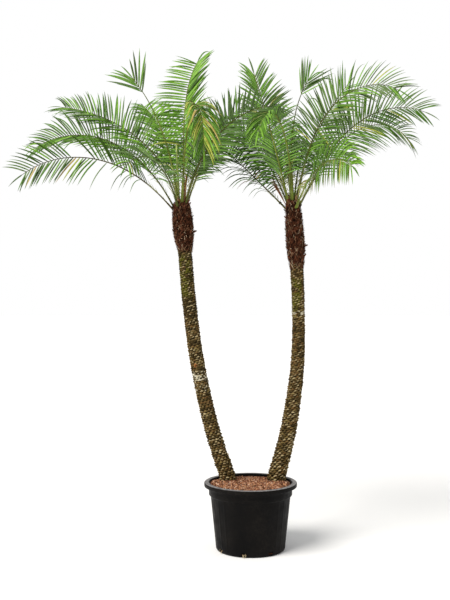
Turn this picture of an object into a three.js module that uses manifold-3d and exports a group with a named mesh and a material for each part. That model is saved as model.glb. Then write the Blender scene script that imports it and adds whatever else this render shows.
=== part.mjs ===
// A twin-stemmed pygmy date palm in a round nursery pot.
// Millimetres, +Z up. The origin is the centre of the pot's flat underside.

import * as THREE from "three";
import { mergeVertices } from "three/addons/utils/BufferGeometryUtils.js";
import Module from "manifold-3d";

const wasm = await Module();
wasm.setup();

// Driving dimensions. Lengths are in millimetres, angles in degrees.

const CLEARANCE = 0.3;            // between neighbouring solids

const POT_HEIGHT = 325;
const POT_FOOT_RADIUS = 168;
const POT_BODY_TOP_RADIUS = 194;  // at the ledge under the collar
const POT_COLLAR_RADIUS = 202;
const POT_RIM_RADIUS = 225;
const POT_LEDGE_HEIGHT = 263;
const POT_RIM_DEPTH = 20;
const POT_WALL = 3.5;
const POT_FLOOR = 6;
const POT_CORNER = 12;            // round corner at the foot
const POT_CORNER_START = 0.3;     // share of that corner where its round steepens
const POT_LEDGE_RISE = 3;         // in which the body steps out to the collar
const POT_RIM_BEVEL = 2.5;        // under the rim
const POT_RIM_SHOULDER = 5.5;     // on its outer edge
const POT_LIP = 4;                // on its inner edge
const POT_SIDES = 48;

const RIB_ANGLES = [42, 54, 68];  // from each end of the pot's depth, mirrored to four groups
const RIB_WIDTH = 9;
const RIB_END = 4;                // how far below the ledge it ends
const RIB_SUNK = 2.5;             // in the wall
const RIB_HEIGHT = 1.6;           // how proud a rib stands
const DRAIN_COUNT = 8;
const DRAIN_WIDTH = 26;
const DRAIN_HEIGHT = 14;
const DRAIN_RISE = 1;             // above the pot's floor
const DRAIN_TURN = -102;          // direction of the first one

const SOIL_HEIGHT = 314;
const SOIL_FLAT_RADIUS = 186;     // the trunks stand on this level
const SOIL_EDGE_DROP = 8;
const SOIL_GAP = 0.5;             // between it and the pot's wall

const TRUNK_SIDES = 16;
const TRUNK_STEPS = 22;
const HEAD_SIDES = 16;
const HEAD_STEPS = 11;

// The middle line of each trunk from its cut foot to the start of its fibre, then its radii there.
const LEFT_TRUNK = {
  line: [[-104, 60, SOIL_HEIGHT], [-189, 58, 577], [-259, 54, 893], [-302, 50, 1220], [-321, 46, 1450]],
  radii: [38, 35.5, 35, 34.5, 34],
};
const RIGHT_TRUNK = {
  line: [[124, 60, SOIL_HEIGHT], [189, 60, 577], [233, 60, 893], [237, 58, 1170], [229, 56, 1370]],
  radii: [43, 38, 34, 31, 33],
};

// The fibre-wrapped head that each trunk ends in: where its tip lies, its widest radius and
// where that is, and the dry stubs of old stalks that stand out of it, as height and direction.
const LEFT_HEAD = {
  tip: [-339, 44, 1690],
  radius: 49,
  widest: 0.46,
  stubs: [[0.36, 5], [0.62, 235], [0.2, 140]],
};
const RIGHT_HEAD = {
  tip: [209, 52, 1695],
  radius: 44,
  widest: 0.35,
  stubs: [[0.3, 4], [0.12, 215], [0.6, 110]],
};
const STUB_LENGTH = 26;
const STUB_SUNK = 12;
const STUB_RADIUS = 5;
const STUB_TAPER = 0.3;
const HEAD_DOME = 40;             // height of the rounded end that the stalks stand in
const HEAD_NECK = 0.7;            // share of the widest radius where the dome closes
const HEAD_SHOULDER = 1.8;        // how late it closes, where 1 is even
const STUB_RISE = 0.55;           // its slope

const STALK_WIDTH = 13;           // a frond's midrib at its foot
const STALK_DEPTH = 10;
const MIDRIB_TIP_WIDTH = 4.5;
const MIDRIB_TIP_DEPTH = 3.5;
const MIDRIB_TAPER = 0.7;         // below 1 it thins early
const STALK_SUNK = 9;             // how deep a stalk stands in the head
const SOCKET_SHARE = 0.12;        // of the midrib that its socket is cut along
const MIDRIB_STEPS = 12;
const MIDRIB_PIECES = 48;         // straight pieces that its bend is worked out in
const LOWEST_RISE = 42;           // the slope of a stalk that leaves low on the dome's side
const FOOT_CLIMB = 1.6;           // how much further up the dome each degree of slope puts it
const FOOT_REACH = 0.95;          // share of the head's radius that the lowest stalks stand out at
const BARE_SHARE = 0.2;           // of the midrib that carries no leaflets
const BARE_STEPS = 15;            // the pieces that a midrib bare to its tip would be made in
const ROLLED_SHARE = 0.45;        // of the midrib where its roll is complete

const LEAFLETS_PER_SIDE = 10;
const LEAFLET_LENGTH = 190;
const LEAFLET_END_SHARE = 0.62;   // of that length at both ends of a row
const LEAFLET_LONGEST = 0.8;      // below 1 the longest lie nearer to the foot
const SHORT_FROND = 600;          // a frond as short as this has leaflets shorter by
const SHORT_FROND_SHARE = 0.88;   // this share,
const LONG_FROND = 850;           // and one as long as this has them whole
const LEAFLET_WIDTH = 24;
const LEAFLET_THICKNESS = 2.2;
const LEAFLET_ROOT = 11;          // length of midrib that a leaflet grows from
const LEAFLET_WIDEST = 0.36;      // share of its length where it is widest
const LEAFLET_CLOSING = 1.6;      // how late along a row the angle of its leaflets changes
const OPEN = [72, 34];            // a row's first and last leaflet, in degrees from the midrib
const WIDE = [80, 42];
const FLAT = [82, 100];
const SPREAD = [66, 54];
const RAISED = [44, 24];
const SWEPT = [42, 54];
const SHUT = [26, 26];
const LAST_LEAFLET_SHARE = 0.97;  // of the midrib
const LEAFLET_TRIALS = [          // what is tried where a leaflet would touch another piece
  { shorten: 1, tilt: 0 },
  { shorten: 1, tilt: 0.16 },
  { shorten: 1, tilt: -0.16 },
  { shorten: 0.85, tilt: 0.26 },
  { shorten: 0.85, tilt: -0.26 },
  { shorten: 0.7, tilt: 0 },
];
const LEAFLET_LIFT = 12;          // of both rows out of the blade's plane
const ANGLE_PLAY = 4;             // how much the angles of neighbouring leaflets differ
const LENGTH_PLAY = 0.05;         // and their lengths

// Fronds, as the direction that each points in (0 is +X and 90 is +Y), its slope at the foot and at
// the tip, how late it bends (1 is even), its midrib's length, how far its blade is rolled, how
// much its leaflets hang, the angles of its right and its left row, and how much of it is bare.
const LEFT_FRONDS = [
  [192, 48, -39, 1.35, 810, -72, 0.15, SWEPT, OPEN],
  [164, 60, -28, 1.4, 905, -68, 0.15, OPEN, SHUT],
  [160, 84, 9, 0.65, 880, -50, 0.15, OPEN, RAISED],
  [114, 78, 25, 0.7, 840, -20, 0.2, SPREAD, RAISED],
  [225, 80, 37, 1.5, 645, 42, 0.15, RAISED, RAISED, 0.86],
  [20, 90, 58, 4.0, 715, 60, 0.1, RAISED, FLAT],
  [-79, 76, -88, 1.5, 980, -5, 0.5, SHUT, SHUT, 0.55],
  [24, 71, 35, 2.2, 590, 60, 0.2, OPEN, OPEN],
  [-115, 60, -40, 1.2, 560, -30, 0.5, OPEN, OPEN],
  [80, 64, -15, 1.2, 820, 10, 0.3, OPEN, OPEN],
  [56, 70, -10, 1.3, 800, 40, 0.2, OPEN, OPEN],
  [-38, 72, -10, 1.3, 740, -40, 0.2, OPEN, OPEN],
].map(frondFromRow);
const RIGHT_FRONDS = [
  [-2, 63, -24, 2.2, 838, 72, 0.15, OPEN, OPEN],
  [27, 58, -47, 2.4, 905, 66, 0.2, OPEN, OPEN],
  [-16, 79, -35, 2.3, 850, 68, 0.15, OPEN, OPEN],
  [37, 80, 46, 0.75, 732, 60, 0.1, OPEN, OPEN],
  [-67, 49, -34, 1.3, 590, 68, 0.5, OPEN, OPEN],
  [136, 40, 36, 2.0, 640, -20, 0.35, OPEN, OPEN],
  [115, 54, 24, 1.1, 690, -40, 0.25, OPEN, OPEN],
  [-148, 74, 69, 0.93, 640, 60, 0.2, RAISED, WIDE],
  [-107, 88, -50, 1.0, 880, 20, 0.35, SHUT, SHUT, 0.5],
  [0, 94, 57, 2.2, 625, 75, 0.05, RAISED, SHUT, 0.84],
  [75, 66, -15, 1.2, 820, 10, 0.3, OPEN, OPEN],
  [104, 76, 5, 1.3, 800, 5, 0.2, OPEN, OPEN],
  [140, 73, 20, 1.2, 600, -50, 0.2, OPEN, OPEN],
].map(frondFromRow);

function frondFromRow(row) {
  const [azimuth, rise, fall, bow, length, roll, hang, right, left, bare = BARE_SHARE] = row;
  return { azimuth, rise, fall, bow, length, roll, hang, right, left, bare };
}

const SPLIT_BEND = 130;           // a frond that bends further than this is in two pieces
const SPLIT_SHARE = 0.3;          // and they part at this share of its leaflets

// Pieces with no leaflets that stand in the heads: unopened spears and a dry sheath. Each holds
// the place of its foot from the head's tip, its direction, slope, length and two half widths.
const LEFT_SPEAR = { foot: [-9, -3, -6], azimuth: 170, rise: 87, length: 310, wide: 6, thick: 5 };
const RIGHT_SPEAR = { foot: [-9, 8, -6], azimuth: 120, rise: 86, length: 270, wide: 6, thick: 5 };
const DRY_SHEATH = { foot: [-33, 6, -22], azimuth: 170, rise: 63, length: 165, wide: 10, thick: 4 };
const SPEAR_SIDES = 6;
const SPEAR_STEPS = 5;
const SPEAR_POINT = 0.12;         // share of its width that is left at its point
const SPEAR_TAPER = 0.6;          // below 1 it thins late

const LEAF_GREEN = 0x4f7a34;
const LEAF_YELLOW_GREEN = 0x8a9a45;
const FIBRE_BROWN = 0x4a2f22;
const TRUNK_OLIVE = 0x6a6038;
const SPEAR_GREEN = 0xa9b565;
const POT_BLACK = 0x26262a;
const SOIL_BROWN = 0x7a4a32;

const UP = new THREE.Vector3(0, 0, 1);
const radians = THREE.MathUtils.degToRad;
const lerp = THREE.MathUtils.lerp;
const clamp = THREE.MathUtils.clamp;
const vector = ([x, y, z]) => new THREE.Vector3(x, y, z);

// A repeatable number from -1 to 1.
function jitter(...keys) {
  const seed = keys.reduce((sum, key, place) => sum + key * (12.9898 + 65.317 * place), 1.7);
  const wave = Math.sin(seed) * 43758.5453;
  return 2 * (wave - Math.floor(wave)) - 1;
}

// Solids: three.js geometry in, manifold out, and back.

function toSolid(geometry) {
  const bare = geometry.clone();
  bare.deleteAttribute("normal");
  bare.deleteAttribute("uv");
  const merged = mergeVertices(bare, 1e-4);
  const vertProperties = new Float32Array(merged.attributes.position.array);
  const triVerts = new Uint32Array(merged.index.array);
  return new wasm.Manifold(new wasm.Mesh({ numProp: 3, vertProperties, triVerts }));
}

function toGeometry(solid) {
  const mesh = solid.getMesh();
  const geometry = new THREE.BufferGeometry();
  geometry.setAttribute("position", new THREE.BufferAttribute(mesh.vertProperties, 3));
  geometry.setIndex(new THREE.BufferAttribute(mesh.triVerts, 1));
  geometry.computeVertexNormals();
  return geometry;
}

// The largest single body of a solid.
function mainBody(solid) {
  return solid.decompose().sort((a, b) => b.volume() - a.volume())[0];
}

// A tapering limb: place(t, x, z) gives the point of a unit section at the share t of its length.
function limb(sides, steps, place) {
  const geometry = new THREE.CylinderGeometry(1, 1, 1, sides, steps);
  const position = geometry.attributes.position;
  for (let i = 0; i < position.count; i += 1) {
    const t = position.getY(i) + 0.5;
    const point = place(t, position.getX(i), position.getZ(i));
    position.setXYZ(i, point.x, point.y, point.z);
  }
  return toSolid(geometry);
}

// Pot and soil.

function potWallRadius(height) {
  return lerp(POT_FOOT_RADIUS, POT_BODY_TOP_RADIUS, height / POT_LEDGE_HEIGHT);
}

function lathe(profile) {
  const points = profile.map(([radius, height]) => new THREE.Vector2(radius, height));
  const geometry = new THREE.LatheGeometry(points, POT_SIDES);
  geometry.rotateX(Math.PI / 2);
  return toSolid(geometry);
}

function rib(angle) {
  const low = POT_CORNER;
  const high = POT_LEDGE_HEIGHT - RIB_END;
  const depth = RIB_HEIGHT + RIB_SUNK;
  const strip = new THREE.BoxGeometry(depth, RIB_WIDTH, high - low, 1, 1, 1);
  const position = strip.attributes.position;
  for (let i = 0; i < position.count; i += 1) {
    const height = lerp(low, high, position.getZ(i) > 0 ? 1 : 0);
    const reach = potWallRadius(height) + (position.getX(i) > 0 ? RIB_HEIGHT : -RIB_SUNK);
    position.setXYZ(i, reach, position.getY(i), height);
  }
  strip.rotateZ(radians(angle));
  return toSolid(strip);
}

function drain(angle) {
  const slot = new THREE.BoxGeometry(POT_CORNER * 4, DRAIN_WIDTH, DRAIN_HEIGHT);
  slot.translate(POT_FOOT_RADIUS, 0, POT_FLOOR + DRAIN_RISE + DRAIN_HEIGHT / 2);
  slot.rotateZ(radians(angle));
  return toSolid(slot);
}

function makePot() {
  const rimFoot = POT_HEIGHT - POT_RIM_DEPTH;
  const inner = POT_COLLAR_RADIUS - POT_WALL;
  let pot = lathe([
    [0, 0], [POT_FOOT_RADIUS - POT_CORNER, 0],
    [POT_FOOT_RADIUS - POT_CORNER * POT_CORNER_START, POT_CORNER * POT_CORNER_START],
    [potWallRadius(POT_CORNER), POT_CORNER],
    [POT_BODY_TOP_RADIUS, POT_LEDGE_HEIGHT],
    [POT_COLLAR_RADIUS, POT_LEDGE_HEIGHT + POT_LEDGE_RISE],
    [POT_COLLAR_RADIUS, rimFoot],
    [POT_RIM_RADIUS - POT_RIM_BEVEL, rimFoot],
    [POT_RIM_RADIUS, rimFoot + POT_RIM_BEVEL],
    [POT_RIM_RADIUS, POT_HEIGHT - POT_RIM_SHOULDER],
    [POT_RIM_RADIUS - POT_RIM_SHOULDER, POT_HEIGHT],
    [inner + POT_LIP, POT_HEIGHT],
    [inner, POT_HEIGHT - POT_LIP],
    [inner, POT_LEDGE_HEIGHT + POT_LIP],
    [potWallRadius(POT_LEDGE_HEIGHT) - POT_WALL, POT_LEDGE_HEIGHT],
    [potWallRadius(POT_CORNER) - POT_WALL, POT_CORNER],
    [POT_FOOT_RADIUS - POT_CORNER - POT_WALL, POT_FLOOR],
    [0, POT_FLOOR],
  ]);
  for (const end of [-90, 90]) {
    for (const angle of RIB_ANGLES) {
      pot = pot.add(rib(end - angle)).add(rib(end + angle));
    }
  }
  for (let i = 0; i < DRAIN_COUNT; i += 1) {
    pot = pot.subtract(drain(DRAIN_TURN + i * 360 / DRAIN_COUNT));
  }
  return mainBody(pot);
}

function makeSoil() {
  const wall = POT_WALL + SOIL_GAP;
  const floor = POT_FLOOR + CLEARANCE;
  const inner = POT_COLLAR_RADIUS - wall;
  return lathe([
    [0, floor],
    [POT_FOOT_RADIUS - POT_CORNER - wall, floor],
    [potWallRadius(POT_CORNER) - wall, POT_CORNER + SOIL_GAP],
    [potWallRadius(POT_LEDGE_HEIGHT) - wall, POT_LEDGE_HEIGHT + SOIL_GAP],
    [inner, POT_LEDGE_HEIGHT + POT_LIP + SOIL_GAP],
    [inner, SOIL_HEIGHT - SOIL_EDGE_DROP],
    [SOIL_FLAT_RADIUS, SOIL_HEIGHT],
    [0, SOIL_HEIGHT],
  ]);
}

// Trunks and heads, in level sections so that every cut face is flat.

function radiusAlong(radii, t) {
  const place = Math.min(t * (radii.length - 1), radii.length - 1 - 1e-9);
  const index = Math.floor(place);
  return lerp(radii[index], radii[index + 1], place - index);
}

function levelSection(middle, along, radius, x, z) {
  const lean = 1 / Math.max(0.5, along.z);
  const across = new THREE.Vector2(along.x, along.y);
  const stretch = across.length() > 1e-6 ? across.clone().normalize() : new THREE.Vector2(1, 0);
  const flat = new THREE.Vector2(x, -z).multiplyScalar(radius);
  const extra = flat.dot(stretch) * (lean - 1);
  return new THREE.Vector3(
    middle.x + flat.x + stretch.x * extra,
    middle.y + flat.y + stretch.y * extra,
    middle.z,
  );
}

function trunkCurve(trunk, head) {
  return new THREE.CatmullRomCurve3([...trunk.line, head.tip].map(vector), false, "centripetal");
}

// The point of the middle line at a height, by halving.
function atHeight(curve, height) {
  let low = 0;
  let high = 1;
  for (let i = 0; i < 40; i += 1) {
    const middle = (low + high) / 2;
    if (curve.getPoint(middle).z < height) {
      low = middle;
    } else {
      high = middle;
    }
  }
  const point = curve.getPoint(low);
  return { point: new THREE.Vector3(point.x, point.y, height), along: curve.getTangent(low) };
}

function makeTrunk(trunk, head) {
  const curve = trunkCurve(trunk, head);
  const foot = SOIL_HEIGHT + CLEARANCE;
  const top = trunk.line.at(-1)[2] - CLEARANCE;
  return limb(TRUNK_SIDES, TRUNK_STEPS, (t, x, z) => {
    const { point, along } = atHeight(curve, lerp(foot, top, t));
    return levelSection(point, along, radiusAlong(trunk.radii, t), x, z);
  });
}

// The head's radius at the share t of its height: it swells, then closes in a dome.
function headRadius(trunk, head, t) {
  const foot = trunk.radii.at(-1);
  const neck = head.radius * HEAD_NECK;
  if (t < head.widest) {
    return lerp(foot, head.radius, Math.sin((t / head.widest) * Math.PI / 2));
  }
  const closing = (t - head.widest) / (1 - head.widest);
  return lerp(neck, head.radius, Math.sqrt(Math.max(0, 1 - closing ** HEAD_SHOULDER)));
}

function stub(middle, radius, direction) {
  const turn = radians(direction);
  const out = new THREE.Vector3(Math.cos(turn), Math.sin(turn), STUB_RISE).normalize();
  const side = new THREE.Vector3(-Math.sin(turn), Math.cos(turn), 0);
  const up = side.clone().cross(out);
  return limb(4, 1, (t, x, z) => middle.clone()
    .addScaledVector(out, radius - STUB_SUNK + t * (STUB_LENGTH + STUB_SUNK))
    .addScaledVector(side, x * STUB_RADIUS * (1 - STUB_TAPER * t))
    .addScaledVector(up, z * STUB_RADIUS * (1 - STUB_TAPER * t)));
}

function makeHead(trunk, head, stalks) {
  const curve = trunkCurve(trunk, head);
  const foot = trunk.line.at(-1)[2];
  const top = head.tip[2];
  let solid = limb(HEAD_SIDES, HEAD_STEPS, (t, x, z) => {
    const { point, along } = atHeight(curve, lerp(foot, top, t));
    return levelSection(point, along, headRadius(trunk, head, t), x, z);
  });
  for (const [share, direction] of head.stubs) {
    const { point } = atHeight(curve, lerp(foot, top, share));
    solid = solid.add(stub(point, headRadius(trunk, head, share), direction));
  }
  for (const stalk of stalks) {
    solid = solid.subtract(stalk.socket);
  }
  return mainBody(solid);
}

// Fronds.

// Where a frond leaves the head: steep fronds near the tip, flat ones lower on its side.
function stalkFoot(head, { azimuth, rise }) {
  const level = radians(clamp((rise - LOWEST_RISE) * FOOT_CLIMB, 4, 84));
  const turn = radians(azimuth);
  const reach = head.radius * FOOT_REACH * Math.cos(level);
  const height = HEAD_DOME * (Math.sin(level) - 1);
  const foot = new THREE.Vector3(reach * Math.cos(turn), reach * Math.sin(turn), height);
  return foot.add(vector(head.tip));
}

// The midrib as a function: at(s) gives its point and its three directions at the share s.
function midrib(head, frond) {
  const { azimuth, rise, fall, bow, length, roll } = frond;
  const turn = radians(azimuth);
  const outward = new THREE.Vector3(Math.cos(turn), Math.sin(turn), 0);
  const level = UP.clone().cross(outward);
  const direction = (s) => {
    const slope = radians(lerp(rise, fall, Math.max(s, 0) ** bow));
    return outward.clone().multiplyScalar(Math.cos(slope)).addScaledVector(UP, Math.sin(slope));
  };
  const points = [stalkFoot(head, frond)];
  for (let i = 0; i < MIDRIB_PIECES; i += 1) {
    const step = direction((i + 0.5) / MIDRIB_PIECES).multiplyScalar(length / MIDRIB_PIECES);
    points.push(points[i].clone().add(step));
  }
  return (s) => {
    const place = clamp(s, 0, 1 - 1e-9) * MIDRIB_PIECES;
    const index = Math.floor(place);
    const point = points[index].clone().lerp(points[index + 1], place - index);
    const along = direction(s);
    point.addScaledVector(along, Math.min(s, 0) * length);
    const above = along.clone().cross(level);
    const turned = radians(roll) * THREE.MathUtils.smoothstep(s, 0, ROLLED_SHARE);
    const side = level.clone().multiplyScalar(Math.cos(turned)).addScaledVector(above, Math.sin(turned));
    return { point, along, side, up: along.clone().cross(side) };
  };
}

// One corner of a thin blade: its top and its underside.
function corner(point, up, depth) {
  return {
    top: point.clone().addScaledVector(up, depth / 2),
    under: point.clone().addScaledVector(up, -depth / 2),
  };
}

// A thin closed blade from its corners and from its faces, each three corners anticlockwise from
// above. Every edge that only one face has gets a wall.
function blade(corners, faces) {
  const edges = faces.flatMap(([a, b, c]) => [[a, b], [b, c], [c, a]]);
  const taken = new Set(edges.map(([from, to]) => `${from} ${to}`));
  const walls = edges.filter(([from, to]) => !taken.has(`${to} ${from}`));
  const indices = [
    ...faces.flatMap(([a, b, c]) => [2 * a, 2 * b, 2 * c, 2 * c + 1, 2 * b + 1, 2 * a + 1]),
    ...walls.flatMap(([a, b]) => [2 * a + 1, 2 * b + 1, 2 * b, 2 * a + 1, 2 * b, 2 * a]),
  ];
  const geometry = new THREE.BufferGeometry();
  const positions = corners.flatMap(({ top, under }) => [...top, ...under]);
  geometry.setAttribute("position", new THREE.Float32BufferAttribute(positions, 3));
  geometry.setIndex(indices);
  return toSolid(geometry);
}

// The two corners of the midrib at the share s, right and left.
function midribCorners(stalk, s, grow = 0) {
  const share = clamp(s, 0, 1) ** MIDRIB_TAPER;
  const reach = lerp(STALK_WIDTH, MIDRIB_TIP_WIDTH, share) / 2 + grow;
  const depth = lerp(STALK_DEPTH, MIDRIB_TIP_DEPTH, share) + 2 * grow;
  const { point, side, up } = stalk.at(s);
  return [-reach, reach].map((offset) => corner(point.clone().addScaledVector(side, offset), up, depth));
}

// The midrib's strip of faces through its right and left corners at each share.
function midribStrip(stalk, shares, grow = 0) {
  const corners = shares.flatMap((s) => midribCorners(stalk, s, grow));
  const faces = shares.slice(1).flatMap((_, i) => {
    const right = 2 * i;
    const [left, nextRight, nextLeft] = [right + 1, right + 2, right + 3];
    return [[right, nextRight, nextLeft], [right, nextLeft, left]];
  });
  return { corners, faces };
}

function bareMidrib(stalk, from, to, grow = 0) {
  const steps = Math.max(2, Math.ceil(MIDRIB_STEPS * (to - from)));
  const shares = Array.from({ length: steps + 1 }, (_, i) => lerp(from, to, i / steps));
  const { corners, faces } = midribStrip(stalk, shares, grow);
  return blade(corners, faces);
}

// The leaflet at the share s of the midrib: row 1 is left, -1 is right, 0 is straight on past the tip.
function leaflet(stalk, s, out, row) {
  const { length, hang, right, left } = stalk.frond;
  const [first, last] = row < 0 ? right : left;
  const { point, along, side, up } = stalk.at(s);
  const wobble = row ? jitter(stalk.number, 10 * out, row) : 0;
  const angle = radians(row ? lerp(first, last, out ** LEAFLET_CLOSING) + ANGLE_PLAY * wobble : 0);
  const lift = radians(LEAFLET_LIFT + ANGLE_PLAY * wobble);
  const across = side.clone().multiplyScalar(row * Math.cos(lift)).addScaledVector(up, Math.sin(lift));
  const grown = clamp((length - SHORT_FROND) / (LONG_FROND - SHORT_FROND), 0, 1);
  const share = lerp(SHORT_FROND_SHARE, 1, grown);
  const swell = lerp(LEAFLET_END_SHARE, 1, Math.sin(Math.PI * out ** LEAFLET_LONGEST));
  return {
    point,
    up,
    direction: along.clone().multiplyScalar(Math.cos(angle)).addScaledVector(across, Math.sin(angle)),
    reach: LEAFLET_LENGTH * share * swell * (1 + LENGTH_PLAY * wobble),
    hang,
  };
}

// The free corners of a leaflet, right, tip and left: it is widest a third of the way out.
function leafletCorners({ point, up, direction, reach, hang }, { shorten, tilt }, grow = 0) {
  const out = direction.clone().addScaledVector(up, tilt).normalize();
  const bent = out.clone().addScaledVector(UP, -hang).normalize();
  const right = out.clone().cross(up).normalize();
  const above = right.clone().cross(out);
  const far = reach * shorten;
  const middle = point.clone().addScaledVector(out, far * LEAFLET_WIDEST);
  const tip = middle.clone().addScaledVector(bent, far * (1 - LEAFLET_WIDEST) + grow);
  const half = LEAFLET_WIDTH / 2 + grow;
  const depth = LEAFLET_THICKNESS + 2 * grow;
  return [
    corner(middle.clone().addScaledVector(right, half), above, depth),
    corner(tip, above, depth),
    corner(middle.clone().addScaledVector(right, -half), above, depth),
  ];
}

// A leaflet's faces between its two corners on the midrib and its three free ones.
function leafletFaces(near, far, [right, tip, left]) {
  return [[near, right, left], [right, tip, left], [near, left, far]];
}

function boxesMeet(one, other) {
  const [a, b] = [one.boundingBox(), other.boundingBox()];
  return [0, 1, 2].every((axis) => a.min[axis] < b.max[axis] && b.min[axis] < a.max[axis]);
}

// A leaflet that would touch another piece is tilted or shortened, and left out if it still does.
function fittedLeaflet(made, roots, others) {
  const fits = (trial) => {
    const grown = leafletCorners(made, trial, CLEARANCE + 0.1);
    const solid = blade([...roots, ...grown], leafletFaces(0, 1, [2, 3, 4]));
    return others.every((other) => !boxesMeet(solid, other) || solid.intersect(other).isEmpty());
  };
  const trial = LEAFLET_TRIALS.find(fits);
  return trial ? leafletCorners(made, trial) : null;
}

// A stretch of a frond: the midrib with a leaflet on each side at each of the middles, and one on
// its end where the stretch is the last.
function frondSolid(stalk, stretch, others) {
  const root = LEAFLET_ROOT / 2 / stalk.frond.length;
  const { before, outs, after } = stretch;
  const middles = outs.map((out) => lerp(stalk.frond.bare, LAST_LEAFLET_SHARE, out));
  const shares = [...before, ...middles.flatMap((s) => [s - root, s + root]), after];
  const { corners, faces } = midribStrip(stalk, shares);
  const addLeaflet = (made, near, far) => {
    const free = fittedLeaflet(made, [corners[near], corners[far]], others);
    if (free) {
      const first = corners.push(...free) - free.length;
      faces.push(...leafletFaces(near, far, [first, first + 1, first + 2]));
    }
  };
  middles.forEach((s, i) => {
    const station = 2 * (before.length + 2 * i);
    addLeaflet(leaflet(stalk, s, outs[i], -1), station, station + 2);
    addLeaflet(leaflet(stalk, s, outs[i], 1), station + 3, station + 1);
  });
  if (after === 1) {
    const end = 2 * (shares.length - 1);
    addLeaflet(leaflet(stalk, 1, 1, 0), end, end + 1);
  }
  return blade(corners, faces);
}

// The stretches that a frond is made in: one, or two with a fine gap where it bends far.
function stretches({ rise, fall, length, bare }) {
  const count = Math.floor(LEAFLETS_PER_SIDE * (1 - bare) / (1 - BARE_SHARE));
  const outs = Array.from({ length: count }, (_, i) => (i + 0.5) / count);
  const steps = Math.round(bare * BARE_STEPS);
  const along = Array.from({ length: steps - 1 }, (_, i) => bare * (i + 1) / steps);
  const before = [-STALK_SUNK / length, ...along];
  if (rise - fall < SPLIT_BEND) {
    return [{ suffix: "", before, outs, after: 1 }];
  }
  const split = Math.round(count * SPLIT_SHARE);
  const part = lerp(bare, LAST_LEAFLET_SHARE, split / count);
  const gap = CLEARANCE / 2 / length;
  return [
    { suffix: "_stalk", before, outs: outs.slice(0, split), after: part - gap },
    { suffix: "_tip", before: [part + gap], outs: outs.slice(split), after: 1 },
  ];
}

// A pointed piece with no leaflets, which swells a little and then tapers.
function spearSolid(head, { foot, azimuth, rise, length, wide, thick }, from, grow = 0) {
  const turn = radians(azimuth);
  const slope = radians(rise);
  const outward = new THREE.Vector3(Math.cos(turn), Math.sin(turn), 0);
  const along = outward.clone().multiplyScalar(Math.cos(slope)).addScaledVector(UP, Math.sin(slope));
  const side = UP.clone().cross(outward);
  const below = side.clone().cross(along);
  const start = vector(head.tip).add(vector(foot));
  return limb(SPEAR_SIDES, SPEAR_STEPS, (t, x, z) => {
    const reach = lerp(from, length, t);
    const swell = Math.cos(clamp(reach / length, 0, 1) * Math.PI / 2);
    const taper = lerp(SPEAR_POINT, 1, swell ** SPEAR_TAPER);
    return start.clone()
      .addScaledVector(along, reach)
      .addScaledVector(side, x * (wide * taper + grow))
      .addScaledVector(below, z * (thick * taper + grow));
  });
}

// Everything that stands in one head, with the sockets that it stands in.
function plantStalks(head, fronds, spears, side) {
  const stalks = fronds.map((frond, index) => {
    const number = index + 1;
    const stalk = { name: `${side}_frond_${String(number).padStart(2, "0")}`, number, frond };
    stalk.at = midrib(head, frond);
    const sunk = -STALK_SUNK / frond.length;
    stalk.solid = bareMidrib(stalk, sunk, 1);
    stalk.socket = bareMidrib(stalk, sunk * 1.2, SOCKET_SHARE, CLEARANCE);
    return stalk;
  });
  const bare = Object.entries(spears).map(([name, spear]) => ({
    name: `${side}_${name}`,
    solid: spearSolid(head, spear, -STALK_SUNK),
    socket: spearSolid(head, spear, -STALK_SUNK * 1.2, CLEARANCE),
  }));
  return [...stalks, ...bare];
}

// Assembly.

const group = new THREE.Group();

function addPart(name, solid, colour, roughness) {
  const material = new THREE.MeshStandardMaterial({ color: colour, roughness, metalness: 0 });
  const mesh = new THREE.Mesh(toGeometry(solid), material);
  mesh.name = name;
  group.add(mesh);
}

const leftStalks = plantStalks(LEFT_HEAD, LEFT_FRONDS, { spear: LEFT_SPEAR }, "left");
const rightStalks = plantStalks(
  RIGHT_HEAD, RIGHT_FRONDS, { spear: RIGHT_SPEAR, dry_sheath: DRY_SHEATH }, "right",
);
const stalks = [...leftStalks, ...rightStalks];

addPart("pot", makePot(), POT_BLACK, 0.6);
addPart("soil", makeSoil(), SOIL_BROWN, 1);
addPart("left_trunk", makeTrunk(LEFT_TRUNK, LEFT_HEAD), TRUNK_OLIVE, 0.9);
addPart("right_trunk", makeTrunk(RIGHT_TRUNK, RIGHT_HEAD), TRUNK_OLIVE, 0.9);
addPart("left_head", makeHead(LEFT_TRUNK, LEFT_HEAD, leftStalks), FIBRE_BROWN, 1);
addPart("right_head", makeHead(RIGHT_TRUNK, RIGHT_HEAD, rightStalks), FIBRE_BROWN, 1);

for (const stalk of stalks) {
  if (!stalk.frond) {
    addPart(stalk.name, stalk.solid, stalk.name.endsWith("sheath") ? FIBRE_BROWN : SPEAR_GREEN, 0.6);
    continue;
  }
  const others = stalks.filter((other) => other !== stalk).map((other) => other.solid);
  const colour = stalk.frond.hang > 0.4 ? LEAF_YELLOW_GREEN : LEAF_GREEN;
  const pieces = stretches(stalk.frond).map((stretch) => {
    const solid = frondSolid(stalk, stretch, others);
    addPart(stalk.name + stretch.suffix, solid, colour, 0.55);
    return solid;
  });
  stalk.solid = pieces.reduce((whole, piece) => whole.add(piece));
}

export default group;
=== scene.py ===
"""A twin-stemmed pygmy date palm in a round nursery pot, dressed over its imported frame.

Metres, +Z up. The plant's tables are in millimetres and degrees, as the frame's maker states them.
"""

import math

import bmesh
import bpy
import numpy as np
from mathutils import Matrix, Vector, noise


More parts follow.
